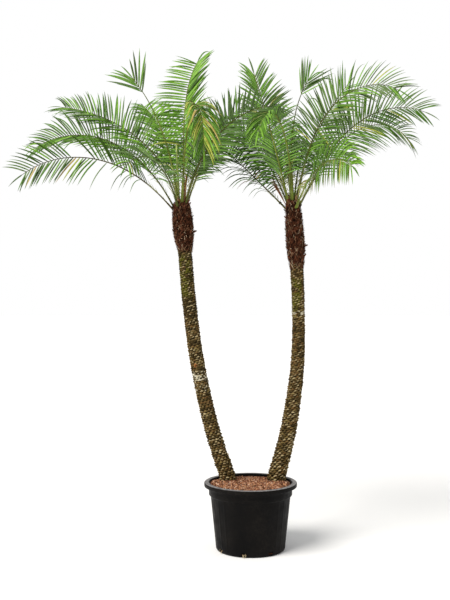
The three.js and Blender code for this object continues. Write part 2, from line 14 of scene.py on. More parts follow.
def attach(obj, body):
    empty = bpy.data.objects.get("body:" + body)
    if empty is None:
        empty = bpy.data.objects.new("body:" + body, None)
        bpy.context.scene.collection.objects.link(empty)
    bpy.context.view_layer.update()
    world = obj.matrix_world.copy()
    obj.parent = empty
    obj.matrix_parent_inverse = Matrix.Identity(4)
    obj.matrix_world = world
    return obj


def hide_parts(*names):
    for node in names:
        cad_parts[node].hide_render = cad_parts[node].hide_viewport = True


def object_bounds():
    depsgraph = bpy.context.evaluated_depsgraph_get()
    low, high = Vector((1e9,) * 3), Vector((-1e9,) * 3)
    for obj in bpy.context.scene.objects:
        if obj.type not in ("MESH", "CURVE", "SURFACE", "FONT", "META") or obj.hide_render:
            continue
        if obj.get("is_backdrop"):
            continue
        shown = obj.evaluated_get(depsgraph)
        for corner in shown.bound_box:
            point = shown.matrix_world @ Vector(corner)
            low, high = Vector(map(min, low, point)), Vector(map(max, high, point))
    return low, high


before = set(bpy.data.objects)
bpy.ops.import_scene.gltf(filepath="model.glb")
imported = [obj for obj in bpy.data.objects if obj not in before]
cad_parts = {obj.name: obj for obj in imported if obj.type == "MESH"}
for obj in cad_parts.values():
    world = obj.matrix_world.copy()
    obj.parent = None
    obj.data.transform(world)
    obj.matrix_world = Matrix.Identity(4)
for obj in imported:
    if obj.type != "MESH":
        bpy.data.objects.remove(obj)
cad_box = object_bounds()

MM = 0.001
UP = np.array([0.0, 0.0, 1.0])
GOLDEN_ANGLE = math.radians(137.508)

# Where the random draws of each kind of piece start. A stem's number is added to the first four.
SEEDS = {
    "trunk": 10, "head": 20, "spear": 40, "neck": 52,
    "sheath": 51, "chips": 61, "straws": 62, "pot_roots": 71,
}


# ---------------------------------------------------------------- camera, light and floor

IMAGE_HEIGHT = 600
FOCAL_LENGTH_PIXELS = 883
SENSOR = 36.0
CAMERA_PLACE = (-0.124, -4.29, 1.207)
SUN_PLACE = (-3.0, -2.6, 4.2)
SUN_STRENGTH = 3.0
SUN_SOFTNESS = math.radians(35)
SUN_TINT = (1.0, 0.97, 0.92)
AMBIENT_STRENGTH = 0.56
BACKDROP_STRENGTH = 1.0
FLOOR_SIZE = 60


def add_object(name, data):
    """A new object in the scene."""
    made = bpy.data.objects.new(name, data)
    bpy.context.scene.collection.objects.link(made)
    return made


def set_camera():
    """A level camera that looks along +Y at half the plant's height."""
    data = bpy.data.cameras.new("camera")
    data.sensor_width = SENSOR
    data.lens = FOCAL_LENGTH_PIXELS / IMAGE_HEIGHT * SENSOR
    camera = add_object("camera", data)
    camera.location = CAMERA_PLACE
    camera.rotation_euler = (math.radians(90), 0, 0)
    bpy.context.scene.camera = camera


def set_sun():
    """A soft light from far off, which reaches the whole floor alike."""
    data = bpy.data.lights.new("key", "SUN")
    data.energy = SUN_STRENGTH
    data.angle = SUN_SOFTNESS
    data.color = SUN_TINT
    light = add_object("key", data)
    light.location = SUN_PLACE
    light.rotation_euler = (-Vector(SUN_PLACE)).to_track_quat("-Z", "Y").to_euler()


def set_world():
    """A white studio: one strength for its light, another for the backdrop itself."""
    world = bpy.data.worlds.new("studio")
    world.use_nodes = True
    tree = world.node_tree
    background = tree.nodes["Background"]
    background.inputs["Color"].default_value = (1.0, 1.0, 1.0, 1.0)
    seen = tree.nodes.new("ShaderNodeLightPath").outputs["Is Camera Ray"]
    strength = tree.nodes.new("ShaderNodeMapRange")
    strength.inputs["To Min"].default_value = AMBIENT_STRENGTH
    strength.inputs["To Max"].default_value = BACKDROP_STRENGTH
    tree.links.new(seen, strength.inputs["Value"])
    tree.links.new(strength.outputs["Result"], background.inputs["Strength"])
    bpy.context.scene.world = world
    bpy.context.scene.view_settings.view_transform = "Standard"


def make_floor():
    bm = bmesh.new()
    bmesh.ops.create_grid(bm, x_segments=1, y_segments=1, size=FLOOR_SIZE)
    mesh = mesh_of(bm, "studio_floor")
    mesh.materials.append(plain_floor())
    floor = add_object("studio_floor", mesh)
    floor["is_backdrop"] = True


# ---------------------------------------------------------------- materials


def linear(code):
    """A written sRGB colour as linear red, green, blue and alpha."""
    shares = [int(code[i:i + 2], 16) / 255 for i in (1, 3, 5)]
    return (*[s / 12.92 if s <= 0.04045 else ((s + 0.055) / 1.055) ** 2.4 for s in shares], 1.0)


class Finish:
    """A material under construction: its nodes and its Principled shader."""

    def __init__(self, name, roughness, specular=0.5):
        self.material = bpy.data.materials.new(name)
        self.material.use_nodes = True
        self.tree = self.material.node_tree
        self.shader = self.tree.nodes["Principled BSDF"]
        self.shader.inputs["Roughness"].default_value = roughness
        self.shader.inputs["Specular IOR Level"].default_value = specular

    def node(self, kind, inputs, **settings):
        """A node with its settings and inputs, each input a plain value or another node's socket."""
        made = self.tree.nodes.new(kind)
        for key, value in settings.items():
            setattr(made, key, value)
        for key, value in inputs.items():
            if isinstance(value, bpy.types.NodeSocket):
                self.link(value, made.inputs[key])
            else:
                made.inputs[key].default_value = value
        return made

    def link(self, source, target):
        self.tree.links.new(source, target)

    def noise(self, scale, detail=3.0, stretch=None, rough=0.5):
        """Object-space noise from 0 to 1, with its pattern squeezed by stretch."""
        place = self.node("ShaderNodeTexCoord", {}).outputs["Object"]
        if stretch:
            place = self.node("ShaderNodeMapping", {"Vector": place, "Scale": stretch}).outputs["Vector"]
        inputs = {"Vector": place, "Scale": scale, "Detail": detail, "Roughness": rough}
        return self.node("ShaderNodeTexNoise", inputs).outputs["Fac"]

    def attribute(self, name):
        return self.node("ShaderNodeAttribute", {}, attribute_name=name).outputs["Fac"]

    def ramp(self, factor, *stops):
        """A colour ramp through (place, written colour) stops."""
        made = self.node("ShaderNodeValToRGB", {"Fac": factor})
        elements = made.color_ramp.elements
        elements[0].position, elements[1].position = stops[0][0], stops[-1][0]
        elements[0].color, elements[1].color = linear(stops[0][1]), linear(stops[-1][1])
        for at, code in stops[1:-1]:
            elements.new(at).color = linear(code)
        return made.outputs["Color"]

    def tones(self, scale, detail, dark, light, low=0.3, high=0.7):
        """Two written colours mingled by noise, each alone beyond its end of the noise."""
        return self.ramp(self.noise(scale, detail), (low, dark), (high, light))

    def mix(self, factor, first, second):
        inputs = {"Factor": factor, "A": first, "B": second}
        return self.node("ShaderNodeMix", inputs, data_type="RGBA").outputs["Result"]

    def between(self, factor, low, high, to_low=0.0, to_high=1.0):
        inputs = {"Value": factor, "From Min": low, "From Max": high, "To Min": to_low, "To Max": to_high}
        return self.node("ShaderNodeMapRange", inputs).outputs["Result"]

    def times(self, first, second):
        return self.node("ShaderNodeMath", {0: first, 1: second}, operation="MULTIPLY").outputs["Value"]

    def bump(self, height, distance, strength=0.6):
        made = self.node("ShaderNodeBump", {"Height": height, "Strength": strength, "Distance": distance})
        self.link(made.outputs["Normal"], self.shader.inputs["Normal"])

    def colour(self, source):
        self.link(source, self.shader.inputs["Base Color"])

    def roughness(self, source, low, high):
        self.link(self.between(source, 0.3, 0.7, low, high), self.shader.inputs["Roughness"])


def plain_floor():
    finish = Finish("studio_white", 0.9, 0.1)
    finish.colour(finish.ramp(finish.noise(0.4), (0.0, "#fdfdfd"), (1.0, "#ffffff")))
    return finish.material


def leaf_finish(name, dark, light, roughness):
    """Leaf skin: fine lengthwise tone changes, satin where it is smooth."""
    finish = Finish(name, roughness, 0.2)
    finish.colour(finish.tones(38, 2, dark, light, 0.25, 0.75))
    finish.roughness(finish.noise(90, 1), roughness - 0.08, roughness + 0.1)
    return finish.material


# Each tint of leaflet: its upper side dark and light, then its underside dark and light.
LEAF_TINTS = {
    "deep": ("#2c4711", "#4a6c20", "#3f5729", "#5b7341"),
    "mid": ("#446f1b", "#65942f", "#56743d", "#708d52"),
    "light": ("#629427", "#8cbd48", "#629034", "#86b252"),
    "yellow": ("#969f3a", "#bfc55f", "#a5a961", "#c4c880"),
    "straw": ("#a8924a", "#c8b270", "#a8965c", "#c4b280"),
    "dry": ("#55351c", "#855830", "#5c3f28", "#7f5a3c"),
    "silver": ("#55703a", "#7a945c", "#667b4c", "#8ba072"),
}


def leaf_finishes():
    made = []
    for tint, (dark, light, under_dark, under_light) in LEAF_TINTS.items():
        made.append(leaf_finish(f"leaflet_{tint}_upper", dark, light, 0.42))
        made.append(leaf_finish(f"leaflet_{tint}_under", under_dark, under_light, 0.6))
    return made


def stalk_finish(name, dark, light, pale):
    """Smooth stalk skin with pale scurf in patches."""
    finish = Finish(name, 0.45, 0.15)
    green = finish.ramp(finish.noise(22, 3, (1, 1, 0.2)), (0.3, dark), (0.7, light))
    patches = finish.between(finish.noise(55, 4), 0.6, 0.75, 0.0, 0.6)
    finish.colour(finish.mix(patches, green, linear(pale)))
    finish.roughness(finish.noise(40), 0.34, 0.55)
    finish.bump(finish.noise(180, 2, (1, 1, 0.15)), 0.0006, 0.4)
    return finish.material


def bark_finish():
    """Old leaf bases: painted shade in the gaps between them, olive to brown bodies, pale edges that are
    partly worn and partly a painted highlight, and growth in patches.
    """
    finish = Finish("trunk_bark", 0.9, 0.05)
    body = finish.ramp(
        finish.attribute("tone"),
        (0.0, "#2b200b"), (0.3, "#43341a"), (0.55, "#5c4b27"), (0.75, "#634526"), (1.0, "#7a6a3f"),
    )
    speckle = finish.tones(430, 3, "#20160a", "#a3956a", 0.35, 0.65)
    body = finish.mix(finish.between(finish.noise(210, 3), 0.45, 0.75, 0.0, 0.55), body, speckle)
    layers = {
        "moss": (260, 3, "#383c0c", "#767228"),
        # The pale tip is partly the worn end of a base and partly a painted highlight on its top edge.
        "tip": (330, 2, "#7d6c44", "#cdbc94"),
        "rust": (300, 2, "#7a4c26", "#a87446"),
        "lichen": (300, 3, "#a2976f", "#e6dfc8", 0.3, 0.6),
    }
    for name, tones in layers.items():
        body = finish.mix(finish.attribute(name), body, finish.tones(*tones))
    # Painted shade: the gaps between the bases and their edges take this near-black colour.
    gap = finish.tones(200, 2, "#0b0703", "#211708")
    finish.colour(finish.mix(finish.attribute("painted_shading"), gap, body))
    finish.bump(finish.noise(520, 4), 0.0012, 0.8)
    return finish.material


def fibre_mass_finish():
    """The matted fibre of a head under its loose strands, with painted shade between its knobs and a painted
    highlight towards each knob's top.
    """
    finish = Finish("head_fibre_mass", 0.95, 0.04)
    matted = finish.ramp(
        finish.noise(150, 5, (1, 1, 0.35), 0.65),
        (0.3, "#120804"), (0.46, "#2f190e"), (0.6, "#573220"), (0.76, "#86604a"),
    )
    # Painted shade: the near-black colour between the knobs.
    dark = finish.tones(120, 2, "#080402", "#170c06")
    finish.colour(finish.mix(finish.attribute("painted_shading"), dark, matted))
    finish.bump(finish.noise(480, 4, (1, 1, 0.3)), 0.0015, 0.9)
    return finish.material


def strand_finish(name, dark, light):
    finish = Finish(name, 0.85, 0.08)
    finish.colour(finish.tones(140, 3, dark, light))
    finish.bump(finish.noise(700, 2), 0.0004, 0.5)
    return finish.material


def pot_finish():
    """Matt black nursery plastic with a dusty bloom in patches and a pale top to its rim."""
    finish = Finish("pot_plastic", 0.5, 0.07)
    plastic = finish.tones(9, 4, "#060607", "#0e0c0b")
    dust = finish.tones(60, 4, "#191613", "#332e29")
    patches = finish.between(finish.noise(6, 5), 0.42, 0.75)
    bloom = finish.times(patches, finish.between(finish.noise(140, 3), 0.3, 0.7))
    body = finish.mix(finish.between(bloom, 0.0, 1.0, 0.0, 0.55), plastic, dust)
    # The pale grey that the rim's upper face takes.
    pale_rim_top = finish.tones(85, 4, "#6d6c70", "#b9b6b4")
    finish.colour(finish.mix(finish.attribute("pale_rim_top"), body, pale_rim_top))
    finish.roughness(finish.noise(30, 4), 0.42, 0.62)
    finish.bump(finish.noise(380, 3), 0.0003, 0.35)
    return finish.material


def mulch_finish(name, dark, light):
    finish = Finish(name, 0.92, 0.2)
    finish.colour(finish.tones(170, 4, dark, light))
    finish.bump(finish.noise(500, 3, (1, 1, 0.4)), 0.0008, 0.7)
    return finish.material


# ---------------------------------------------------------------- making shapes


def mesh_of(bm, name):
    """The finished bmesh as a mesh of that name."""
    mesh = bpy.data.meshes.new(name)
    bm.to_mesh(mesh)
    bm.free()
    return mesh


def limb(name, sides, steps, place):
    """A closed limb: place(t, angle) gives the point of its skin at the share t of its length."""
    bm = bmesh.new()
    bmesh.ops.create_cone(bm, cap_ends=True, segments=sides, radius1=1, radius2=1, depth=1)
    uprights = [e for e in bm.edges if abs(e.verts[0].co.z - e.verts[1].co.z) > 0.5]
    bmesh.ops.subdivide_edges(bm, edges=uprights, cuts=steps - 1, use_grid_fill=True)
    for vert in bm.verts:
        t = vert.co.z + 0.5
        vert.co = place(t, math.atan2(vert.co.y, vert.co.x))
    bmesh.ops.recalc_face_normals(bm, faces=bm.faces)
    return mesh_of(bm, name)


def show(name, mesh, finishes, smooth=True, slot=None, stands_for=()):
    """A finished piece of the plant, riding on its one body."""
    piece = add_object(name, mesh)
    for finish in finishes:
        mesh.materials.append(finish)
    mesh.polygons.foreach_set("use_smooth", [smooth] * len(mesh.polygons))
    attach(piece, "root")
    if stands_for:
        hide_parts(*stands_for)


def show_shapes(name, points, faces, parts, finishes, **shown):
    """Many like shapes as one piece. points is (shapes, points, 3) and faces belongs to one shape.
    parts says which finish each face takes, alike for all shapes or shape by shape."""
    shapes, each, _ = points.shape
    rows = [tuple(start + i for i in face) for start in range(0, shapes * each, each) for face in faces]
    mesh = bpy.data.meshes.new(name)
    mesh.from_pydata(points.reshape(-1, 3).tolist(), [], rows)
    mesh.polygons.foreach_set("material_index", np.broadcast_to(parts, (shapes, len(faces))).ravel().tolist())
    mesh.validate()
    show(name, mesh, finishes, **shown)


def pick(finishes, *keys):
    return [finishes[key] for key in keys]


def wrapped(angle, half=math.pi):
    """An angle brought between minus and plus half a turn."""
    return (angle + half) % (2 * half) - half


def unit(vectors):
    return vectors / np.maximum(np.linalg.norm(vectors, axis=-1, keepdims=True), 1e-9)


def round_axis(turn):
    """The level directions outwards and round the axis at an angle in radians."""
    outward = np.array([math.cos(turn), math.sin(turn), 0.0])
    return outward, np.cross(UP, outward)


def climbing(outward, rise):
    """A level direction turned up by an angle in degrees."""
    slope = math.radians(rise)
    return outward * math.cos(slope) + UP * math.sin(slope)


def smoothstep(value, low, high):
    """0 at low and 1 at high, eased at both ends; low may be the larger."""
    t = np.clip((value - low) / (high - low), 0, 1)
    return t * t * (3 - 2 * t)


def lerp(low, high, t):
    return low + (high - low) * t


def tube_faces(sides, steps):
    """The side faces of a tube, ring after ring."""
    faces = []
    for near in range(0, sides * steps, sides):
        for a in range(sides):
            b = (a + 1) % sides
            faces.append((near + a, near + b, near + sides + b, near + sides + a))
    return faces


def block_faces(steps):
    """The faces of a closed four-sided block of that many steps, its end face last."""
    return [(0, 3, 2, 1), *tube_faces(4, steps), tuple(4 * steps + a for a in range(4))]


# A blade's ring is its left edge, ridge, right edge and underside. The last point is its tip.
BLADE_RING = 4


def blade_faces(steps):
    """The faces of a folded blade of that many steps, with its root cap first."""
    faces = [(0, 1, 2, 3)]
    for i in range(steps - 1):
        near, far = BLADE_RING * i, BLADE_RING * (i + 1)
        for a in range(BLADE_RING):
            b = (a + 1) % BLADE_RING
            faces.append((near + a, far + a, far + b, near + b))
    near, tip = BLADE_RING * (steps - 1), BLADE_RING * steps
    for a in range(BLADE_RING):
        faces.append((near + a, tip, near + (a + 1) % BLADE_RING))
    return faces


def blade_sides(steps):
    """For each face, 0 on the upper side and 1 underneath."""
    return [1] + [0, 0, 1, 1] * steps


def blades(root, direction, up, reach, width, hang, fold=0.4, steps=7, sweep=0.0, lead=None, twist=0.0):
    """Points of many blades at once: narrow, pointed, folded along the middle, drooping by hang."""
    count = len(root)

    def column(value):
        return np.broadcast_to(np.asarray(value, float).reshape(-1, 1), (count, 1))

    reach, width, hang, twist = column(reach), column(width), column(hang), column(twist)
    points = np.zeros((count, BLADE_RING * steps + 1, 3))
    middle = root.copy()
    for i in range(steps):
        t = i / steps
        droop = hang * 1.5 * smoothstep(t, 0.1, 1.0)
        heading = direction - UP * droop
        if lead is not None:
            heading = heading + lead * sweep * t
        heading = unit(heading)
        right = unit(np.cross(heading, up))
        above = np.cross(right, heading)
        angle = twist * t
        level, straight = right, above
        right = level * np.cos(angle) + straight * np.sin(angle)
        above = straight * np.cos(angle) - level * np.sin(angle)
        share = lerp(0.5, 1.0, smoothstep(t, 0.0, 0.16)) * (1 - max(0.0, (t - 0.5) / 0.5) ** 1.8)
        half = width * share / 2
        raised = above * half * fold
        ring = BLADE_RING * i
        points[:, ring] = middle - right * half + raised
        points[:, ring + 1] = middle
        points[:, ring + 2] = middle + right * half + raised
        points[:, ring + 3] = middle - above * (0.12 * half + 0.00015)
        middle = middle + heading * reach / steps
    points[:, -1] = middle
    return points


# ---------------------------------------------------------------- the plant's lines

# Each trunk's middle line from the soil up, in x, y and height, and its radius at even heights.
TRUNK_LINES = {
    "left": [(-104, 60, 314), (-189, 58, 577), (-259, 54, 893), (-302, 50, 1220), (-321, 46, 1450)],
    "right": [(124, 60, 314), (189, 60, 577), (233, 60, 893), (237, 58, 1170), (229, 56, 1370)],
}
TRUNK_RADII = {"left": [38, 35.5, 35, 34.5, 34], "right": [43, 38, 34, 31, 33]}

# Each head: the line's last point, its greatest radius and at which share of its height that is,
# and the pegs on it by share and direction.
HEADS = {
    "left": {
        "tip": (-339, 44, 1690), "radius": 49, "widest": 0.46,
        "pegs": [(0.36, 5), (0.62, 235), (0.2, 140)],
    },
    "right": {
        "tip": (209, 52, 1695), "radius": 44, "widest": 0.35,
        "pegs": [(0.3, 4), (0.12, 215), (0.6, 110)],
    },
}
HEAD_DOME = 40
HEAD_NECK = 0.6

# How a stalk's foot climbs the head's dome, and the stretches of a midrib.
STALK_SUNK = 9
LOWEST_RISE = 42
FOOT_CLIMB = 1.6
FOOT_REACH = 0.95
BARE_SHARE = 0.2
ROLLED_SHARE = 0.45
LAST_LEAFLET_SHARE = 0.97

LEAFLET_LENGTH = 190
LEAFLET_END_SHARE = 0.62
SHORT_FROND = 600
SHORT_FROND_SHARE = 0.88
LONG_FROND = 850
LEAFLET_LIFT = 12
SPLIT_BEND = 130

# A row's first and last leaflet, in degrees from the midrib, and how late the angle changes.
LEAFLET_CLOSING = 1.6
OPEN, WIDE, FLAT, SPREAD = (72, 34), (80, 42), (82, 100), (66, 54)
RAISED, SWEPT, SHUT = (44, 24), (42, 54), (26, 26)

# Fronds: direction, slope at foot and tip, how late the bend, length, roll, hang, the right and the
# left row, palette, and the bare share of the midrib.
FRONDS = {
    "left": [
        (192, 48, -39, 1.35, 810, -72, 0.15, SWEPT, OPEN, "old"),
        (164, 60, -28, 1.4, 905, -68, 0.15, OPEN, SHUT, "grown"),
        (160, 84, 9, 0.65, 880, -50, 0.15, OPEN, RAISED, "grown"),
        (114, 78, 25, 0.7, 840, -20, 0.2, SPREAD, RAISED, "fresh"),
        (225, 80, 37, 1.5, 645, 42, 0.15, RAISED, RAISED, "fresh", 0.86),
        (20, 90, 58, 4.0, 715, 60, 0.1, RAISED, FLAT, "fresh"),
        (-79, 76, -88, 1.5, 980, -5, 0.5, SHUT, SHUT, "yellowing", 0.55),
        (24, 71, 35, 2.2, 590, 60, 0.2, OPEN, OPEN, "grown"),
        (-115, 60, -40, 1.2, 560, -30, 0.5, OPEN, OPEN, "grown"),
        (80, 64, -15, 1.2, 820, 10, 0.3, OPEN, OPEN, "shaded"),
        (56, 70, -10, 1.3, 800, 40, 0.2, OPEN, OPEN, "shaded"),
        (-38, 72, -10, 1.3, 740, -40, 0.2, OPEN, OPEN, "grown"),
    ],
    "right": [
        (-2, 63, -24, 2.2, 838, 72, 0.15, OPEN, OPEN, "bleached"),
        (27, 58, -47, 2.4, 905, 66, 0.2, OPEN, OPEN, "bleached"),
        (-16, 79, -35, 2.3, 850, 68, 0.15, OPEN, OPEN, "bleached"),
        (37, 80, 46, 0.75, 732, 60, 0.1, OPEN, OPEN, "bleached"),
        (-67, 49, -34, 1.3, 590, 68, 0.5, OPEN, OPEN, "yellowing"),
        (136, 40, 36, 2.0, 640, -20, 0.35, OPEN, OPEN, "dull"),
        (115, 54, 24, 1.1, 690, -40, 0.25, OPEN, OPEN, "shaded"),
        (-148, 74, 69, 0.93, 640, 60, 0.2, RAISED, WIDE, "fresh"),
        (-107, 88, -50, 1.0, 880, 20, 0.35, SHUT, SHUT, "fresh", 0.5),
        (0, 94, 57, 2.2, 625, 75, 0.05, RAISED, SHUT, "grown", 0.84),
        (75, 66, -15, 1.2, 820, 10, 0.3, OPEN, OPEN, "shaded"),
        (104, 76, 5, 1.3, 800, 5, 0.2, OPEN, OPEN, "shaded"),
        (140, 73, 20, 1.2, 600, -50, 0.2, OPEN, OPEN, "shaded"),
    ],
}

# How much of each tint a palette deals out, in the order of LEAF_TINTS.
PALETTES = {
    "fresh": (0.03, 0.36, 0.59, 0.01, 0.0, 0.0, 0.01),
    "grown": (0.24, 0.46, 0.16, 0.01, 0.0, 0.0, 0.13),
    "bleached": (0.1, 0.33, 0.1, 0.01, 0.0, 0.0, 0.46),
    "shaded": (0.34, 0.46, 0.12, 0.0, 0.0, 0.0, 0.08),
    "old": (0.26, 0.34, 0.14, 0.03, 0.01, 0.0, 0.22),
    "dull": (0.7, 0.18, 0.0, 0.0, 0.02, 0.06, 0.04),
    "yellowing": (0.02, 0.12, 0.4, 0.34, 0.03, 0.0, 0.09),
}


def smooth_line(points, per_piece=40):
    """A centripetal Catmull-Rom line through the points, in millimetres."""
    knots = np.array(points, float)
    knots = np.vstack([2 * knots[0] - knots[1], knots, 2 * knots[-1] - knots[-2]])
    line = []
    for p0, p1, p2, p3 in zip(knots, knots[1:], knots[2:], knots[3:]):
        d0, d1, d2 = (np.linalg.norm(b - a) ** 0.5 for a, b in ((p0, p1), (p1, p2), (p2, p3)))
        leave = ((p1 - p0) / d0 - (p2 - p0) / (d0 + d1) + (p2 - p1) / d1) * d1
        arrive = ((p2 - p1) / d1 - (p3 - p1) / (d1 + d2) + (p3 - p2) / d2) * d1
        for t in np.arange(per_piece) / per_piece:
            line.append(
                (2 * t**3 - 3 * t**2 + 1) * p1 + (t**3 - 2 * t**2 + t) * leave
                + (3 * t**2 - 2 * t**3) * p2 + (t**3 - t**2) * arrive
            )
    line.append(knots[-2])
    return np.array(line)


class Stem:
    """One palm's middle line from soil to tip, with its radius at each height."""

    def __init__(self, side):
        self.side = side
        self.number = list(HEADS).index(side) + 1
        self.head = HEADS[side]
        self.radii = TRUNK_RADII[side]
        self.line = smooth_line([*TRUNK_LINES[side], self.head["tip"]])
        self.foot = TRUNK_LINES[side][0][2]
        self.join = TRUNK_LINES[side][-1][2]
        self.tip = np.array(self.head["tip"])
        self.top = self.tip[2]

    def middle(self, height):
        """The middle line's x and y at a height, and its lean there, in millimetres."""
        x = np.interp(height, self.line[:, 2], self.line[:, 0])
        y = np.interp(height, self.line[:, 2], self.line[:, 1])
        slope = np.gradient(self.line, axis=0)
        lean = np.interp(height, self.line[:, 2], slope[:, 0] / slope[:, 2])
        return x, y, lean

    def trunk_radius(self, height):
        t = (height - self.foot) / (self.join - self.foot)
        return np.interp(t, np.linspace(0, 1, len(self.radii)), self.radii)

    def head_radius(self, height):
        t = np.clip((height - self.join) / (self.top - self.join), 0, 1)
        widest, radius = self.head["widest"], self.head["radius"]
        swelling = lerp(self.radii[-1], radius, np.sin(np.clip(t / widest, 0, 1) * math.pi / 2))
        closing = np.clip((t - widest) / (1 - widest), 0, 1)
        return np.where(t < widest, swelling, lerp(radius * HEAD_NECK, radius, np.sqrt(1 - closing**1.8)))

    def skin(self, angle, height, radius):
        """Points of a level section, in metres."""
        x, y, lean = self.middle(height)
        across = radius * np.cos(angle) * np.sqrt(1 + lean**2)
        return np.stack([x + across, y + radius * np.sin(angle), height], axis=-1) * MM


# ---------------------------------------------------------------- trunks

TRUNK_SIDES = 144
TRUNK_ROW = 1.78
TRUNK_SUNK = 1.8

# The spiral of old leaf bases: the climb from one to the next, how many are searched either way,
# how many stand below the foot, the breadth and height of one, and how the rows tilt.
BASE_CLIMB = 0.98
BASE_SEARCH = 16
BASES_BELOW = 30
BASE_SIZE = (8.2, 6.3)
BASE_SHIFT = (0.34, 0.28)
ROW_TILT = math.radians(16)

# How many bases have a size, a tone and a brightness of their own before these repeat.
BASE_KINDS = 4000


def nearest_base(angle, height, foot, top, girth, seed, climb, size, tilt):
    """For each skin point the nearest old leaf base of the spiral: the point's place in it along
    the row and across it, from -1 to 1, how far inside its edge that is, and the base's number."""
    rng = np.random.default_rng(seed)
    wide, tall = size
    total = int((top - foot) / climb) + 2 * BASES_BELOW
    shift = rng.uniform(-1, 1, (total, 2)) * (BASE_SHIFT[0] * wide, BASE_SHIFT[1] * tall)
    first = np.round((height - foot) / climb).astype(int) + BASES_BELOW
    best = np.full(angle.shape, 1e9)
    second = np.full(angle.shape, 1e9)
    number = np.zeros(angle.shape, int)
    place = np.zeros((2, *angle.shape))
    for offset in range(-BASE_SEARCH, BASE_SEARCH + 1):
        k = np.clip(first + offset, 0, total - 1)
        turn = wrapped(angle + k * GOLDEN_ANGLE)
        level = turn * girth + shift[k, 0]
        above = height - (foot + (k - BASES_BELOW) * climb) - shift[k, 1]
        along = (level * math.cos(tilt) + above * math.sin(tilt)) / wide
        across = (above * math.cos(tilt) - level * math.sin(tilt)) / tall
        far = np.abs(along) ** 3 + np.abs(across) ** 3
        nearer = far < best
        second = np.where(nearer, best, np.minimum(second, far))
        number = np.where(nearer, k, number)
        place = np.where(nearer, np.stack([along, across]), place)
        best = np.where(nearer, far, best)
    return place[0], place[1], second - best, number


def roughness_at(points, scale, seed):
    """Smooth noise from -1 to 1 at each point."""
    offset = Vector((seed * 3.1, seed * 7.7, seed * 1.3))
    return np.array([noise.noise(Vector(p) * scale + offset) for p in points])


def sleeve(name, sides, rows, skin):
    """A closed sleeve whose skin(angle, share) gives its points; both ends are capped."""
    bm = bmesh.new()
    bmesh.ops.create_grid(bm, x_segments=sides, y_segments=rows, size=0.5)
    bm.verts.ensure_lookup_table()
    flat = np.array([v.co for v in bm.verts])
    angle = (flat[:, 0] + 0.5) * 2 * math.pi
    angle[angle > 2 * math.pi - 1e-6] = 0.0
    points, measures = skin(angle, flat[:, 1] + 0.5)
    layers = {key: bm.verts.layers.float.new(key) for key in measures}
    for i, vert in enumerate(bm.verts):
        vert.co = points[i]
        for key, layer in layers.items():
            vert[layer] = float(measures[key][i])
    bmesh.ops.remove_doubles(bm, verts=bm.verts, dist=1e-6)
    bmesh.ops.holes_fill(bm, edges=[e for e in bm.edges if e.is_boundary], sides=0)
    bmesh.ops.recalc_face_normals(bm, faces=bm.faces)
    return mesh_of(bm, name)


# Growth on the bark: moss between two heights, lichen about a height with its reach, and a spot
# of rust. The left trunk alone has pale flecks, the rust, and an upper part darker by its shade.
MOSS_HEIGHTS = {"left": (1190, 1440), "right": (1120, 1330)}
LICHEN_HEIGHTS = {"left": (836, 26), "right": (1145, 9)}
RUST_HEIGHT, RUST_REACH = 888, 11
MOSS_SIDE = math.radians(-125)
RUST_SIDE = math.radians(-108)
MARKED = {"left": 1.0, "right": 0.0}
UPPER_SHADE = 0.34


def growth(stem, angle, height, girth, fine, coarse, broad):
    """How much moss, lichen and rust covers each point, from 0 to 1."""
    low, high = MOSS_HEIGHTS[stem.side]
    moss = smoothstep(height, low, low + 70) * smoothstep(height, high, high - 40)
    moss *= smoothstep(np.cos(angle - MOSS_SIDE), -0.1, 0.7) * smoothstep(broad + 0.5 * coarse, -0.5, 0.3)
    centre, spread = LICHEN_HEIGHTS[stem.side]
    away = np.abs(height - centre + 14 * broad)
    lichen = smoothstep(away, spread, spread * 0.5) * smoothstep(coarse + 0.7 * broad, -0.2, 0.25)
    below = MARKED[stem.side] * smoothstep(height, 700, 800) * smoothstep(height, 860, 830)
    lichen = np.maximum(lichen, below * smoothstep(coarse + fine * 0.5, 0.42, 0.6))
    lichen *= smoothstep(np.sin(angle), 0.3, -0.4)
    away = np.hypot(height - RUST_HEIGHT, wrapped(angle - RUST_SIDE) * girth) + 3 * coarse
    rust = MARKED[stem.side] * smoothstep(away, RUST_REACH, RUST_REACH * 0.6)
    return {"moss": moss * 0.85, "lichen": lichen, "rust": rust}


